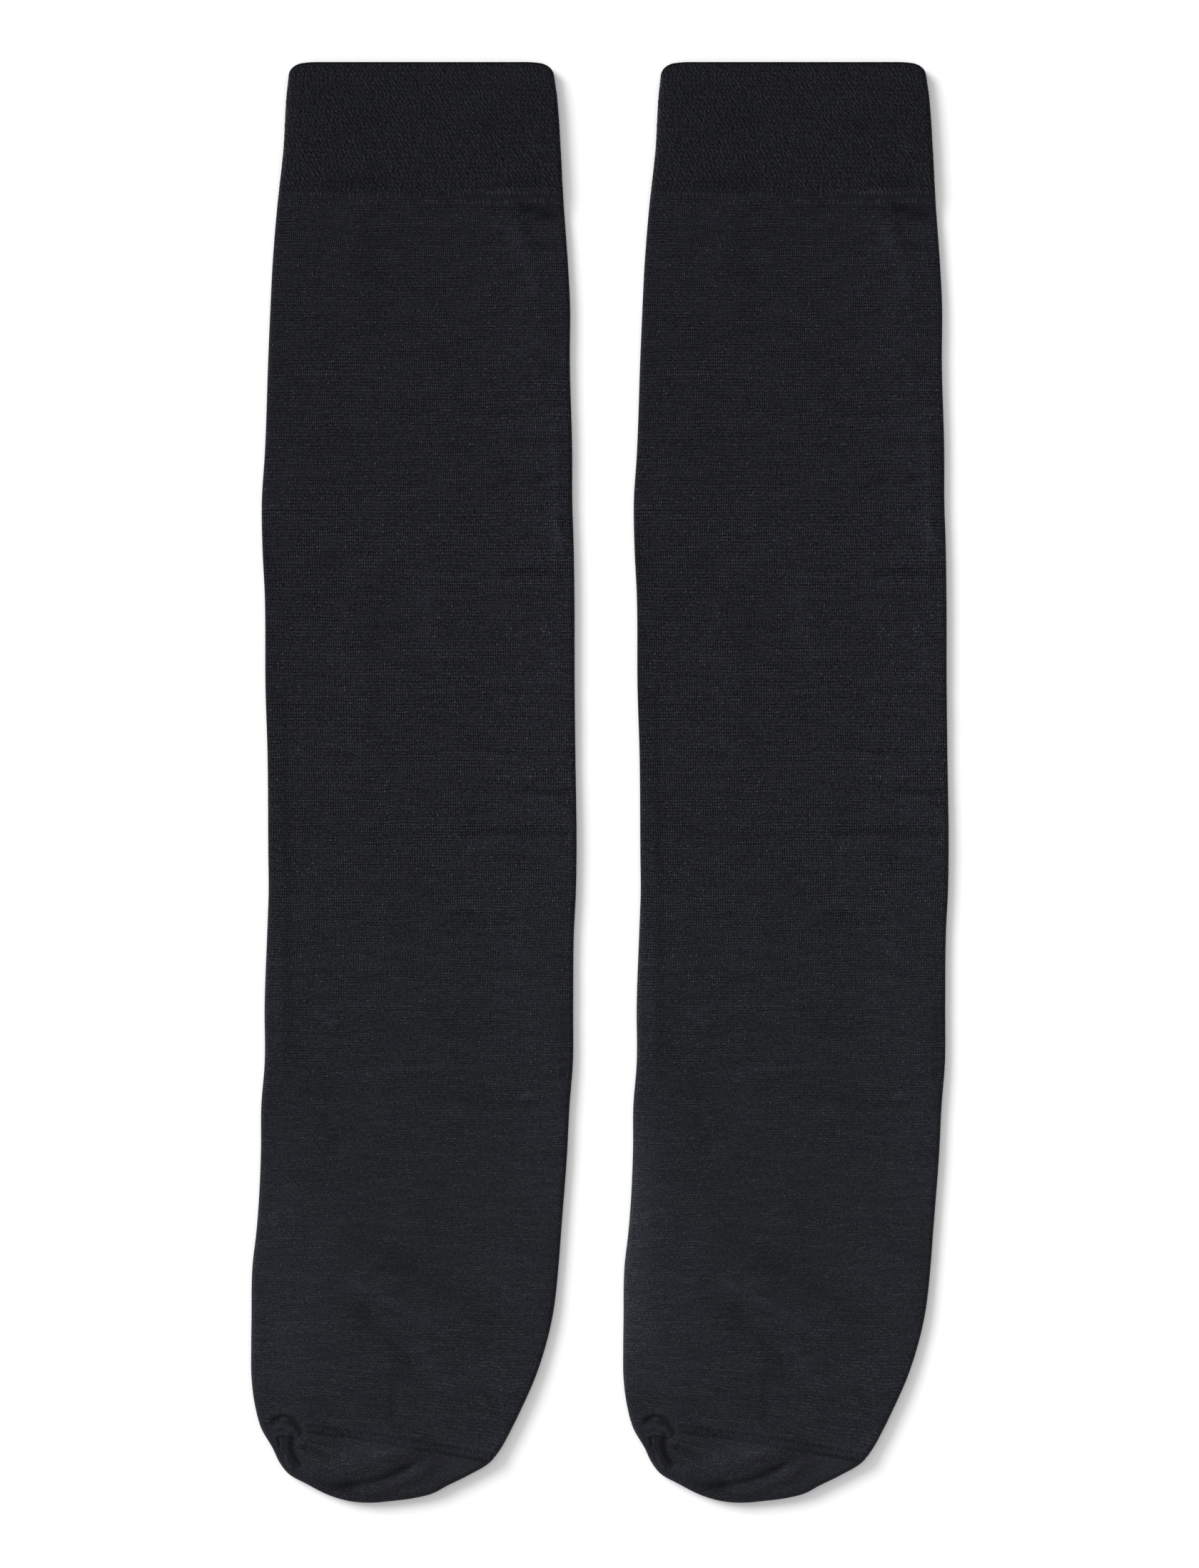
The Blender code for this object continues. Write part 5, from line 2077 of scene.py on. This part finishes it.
TOE_CAST = (0.982, 1.020, 0.940, 1.0)
CUFF_SHADE = (0.91, 0.93, 1.26, 1.0)
CUFF_SHINE = (0.99, 1.04, 1.18, 1.0)
CUFF_KNIT = SlantedKnit(name="cuff_knit", slot="cuff_knit", shade=CUFF_SHADE, shine=CUFF_SHINE, albedo=0.0105)
BAND_KNIT = RaisedKnit(name="band_knit", slot="cuff_knit", shade=CUFF_SHADE, shine=CUFF_SHINE, albedo=0.0115)
LEG_KNIT = PlainKnit(name="leg_knit", slot="leg_knit", albedo=0.0096)
TOE_KNIT = PlainKnit(name="toe_knit", slot="toe_knit", low=TOE_CAST, evenness=0.70, albedo=0.0104)
SEAM_KNIT = SlantedKnit(
    name="seam_knit",
    slot="toe_knit",
    low=TOE_CAST,
    evenness=0.70,
    albedo=0.0113,
    slants=(0.8, -0.8),
    ground=0.76,
    stroke=1.10,
    fuzz=1.4,
)


@dataclass
class Studio:
    """The plain floor, the soft light and the camera straight above.

    Attributes:
        floor_size: side of the floor.
        floor_drop: how far the floor lies below the cloth, so that their faces don't share a plane.
        ambient: brightness of the even light from all sides.
        key: brightness of the soft light from the upper left.
        key_elevation: its height above the floor, in degrees.
        key_bearing: how far it stands from the left towards the mouths, in degrees.
        key_width: how wide it looks, in degrees.
        camera_height: the camera's height.
        view_height: length of floor that the view takes in, mouths to toes.
        image_height: the picture's height in pixels.
        centre_pixel: the picture's middle, in pixels from the pair's middle, right and down.
    """

    floor_size: float = 6.0
    floor_drop: float = 0.0001
    ambient: float = 0.744
    key: float = 3.65
    key_elevation: float = 28.6
    key_bearing: float = 34.0
    key_width: float = 34.0
    camera_height: float = 3.0
    view_height: float = 0.5119
    image_height: int = 2197
    centre_pixel: Pair = (-0.5, 2.0)

    def floor(self) -> bpy.types.Object:
        """A square pale floor under the socks."""
        half = self.floor_size / 2
        corners = np.array([(-half, -half), (half, -half), (half, half), (-half, half)])
        points = np.column_stack([corners, np.full(4, -self.floor_drop)])
        mesh = bpy.data.meshes.new("floor")
        mesh.from_pydata(points.tolist(), [], [(0, 1, 2, 3)])
        shader = Shader("floor_white")
        values = {"Base Color": (0.9, 0.9, 0.9, 1.0), "Roughness": 0.9, "Specular IOR Level": 0.0}
        shader.fill(shader.surface, values)
        mesh.materials.append(shader.material)
        floor = bpy.data.objects.new("floor", mesh)
        bpy.context.scene.collection.objects.link(floor)
        return floor

    def lights(self) -> None:
        """Even light from all sides, and a wide soft key from the upper left."""
        world = bpy.data.worlds.new("studio")
        world.use_nodes = True
        background = world.node_tree.nodes["Background"]
        background.inputs["Color"].default_value = (1.0, 1.0, 1.0, 1.0)
        background.inputs["Strength"].default_value = self.ambient
        bpy.context.scene.world = world
        light = bpy.data.lights.new("key", "SUN")
        light.energy = self.key
        light.angle = math.radians(self.key_width)
        key = bpy.data.objects.new("key", light)
        level = math.cos(math.radians(self.key_elevation))
        bearing = math.radians(self.key_bearing)
        towards = Vector((-level * math.cos(bearing), level * math.sin(bearing), 0.0))
        towards.z = math.sin(math.radians(self.key_elevation))
        key.rotation_euler = towards.to_track_quat("Z", "Y").to_euler()
        bpy.context.scene.collection.objects.link(key)

    def camera(self) -> None:
        """A long lens straight above. The picture's long side takes the sensor's width."""
        lens = bpy.data.cameras.new("camera")
        lens.lens = lens.sensor_width * self.camera_height / self.view_height
        camera = bpy.data.objects.new("camera", lens)
        pixel = self.view_height / self.image_height
        right, below = self.centre_pixel
        camera.location = (right * pixel, -below * pixel, self.camera_height)
        bpy.context.scene.collection.objects.link(camera)
        bpy.context.scene.camera = camera


def triangles(piece: bpy.types.Object) -> int:
    """How many triangles a piece's mesh has."""
    return sum(len(polygon.vertices) - 2 for polygon in piece.data.polygons)


def dress(piece: bpy.types.Object, material: bpy.types.Material) -> None:
    """Gives a piece its material and its slot, lets it ride on the socks' body, and reports it.

    Args:
        piece: the piece.
        material: the material made from that.
    """
    piece.data.materials.append(material)
    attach(piece, "root")
    log.info("%s: %d triangles", piece.name, triangles(piece))


def main() -> None:
    """Builds the studio and both socks."""
    logging.basicConfig(level=logging.INFO, format="%(name)s: %(message)s")
    bpy.context.scene.view_settings.view_transform = "Standard"
    studio = Studio()
    studio.camera()
    studio.lights()
    floor = studio.floor()
    form = LaidForm()
    knitted = {
        "cuff_knit": (CUFF_KNIT, [Cuff(form).grid()]),
        "linking_band": (BAND_KNIT, [LinkingBand(form).grid()]),
        "leg_knit": (LEG_KNIT, [Leg(form).grid()]),
        "toe_knit": (TOE_KNIT, [ToeCap(form).grid()]),
        "toe_seam": (SEAM_KNIT, ToeSeam(form).grids()),
    }
    materials = {finish: finish.material() for finish, _ in knitted.values()}
    for side in Side:
        pieces = {}
        for name, (finish, grids) in knitted.items():
            pieces[name] = knit_object(f"{side.value}_{name}", grids, side, weld=name.startswith("toe"))
            dress(pieces[name], materials[finish])
        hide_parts(f"{side.value}_cuff")
        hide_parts(f"{side.value}_leg_and_foot")
        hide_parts(f"{side.value}_toe_cap")


if __name__ == "__main__":
    main()
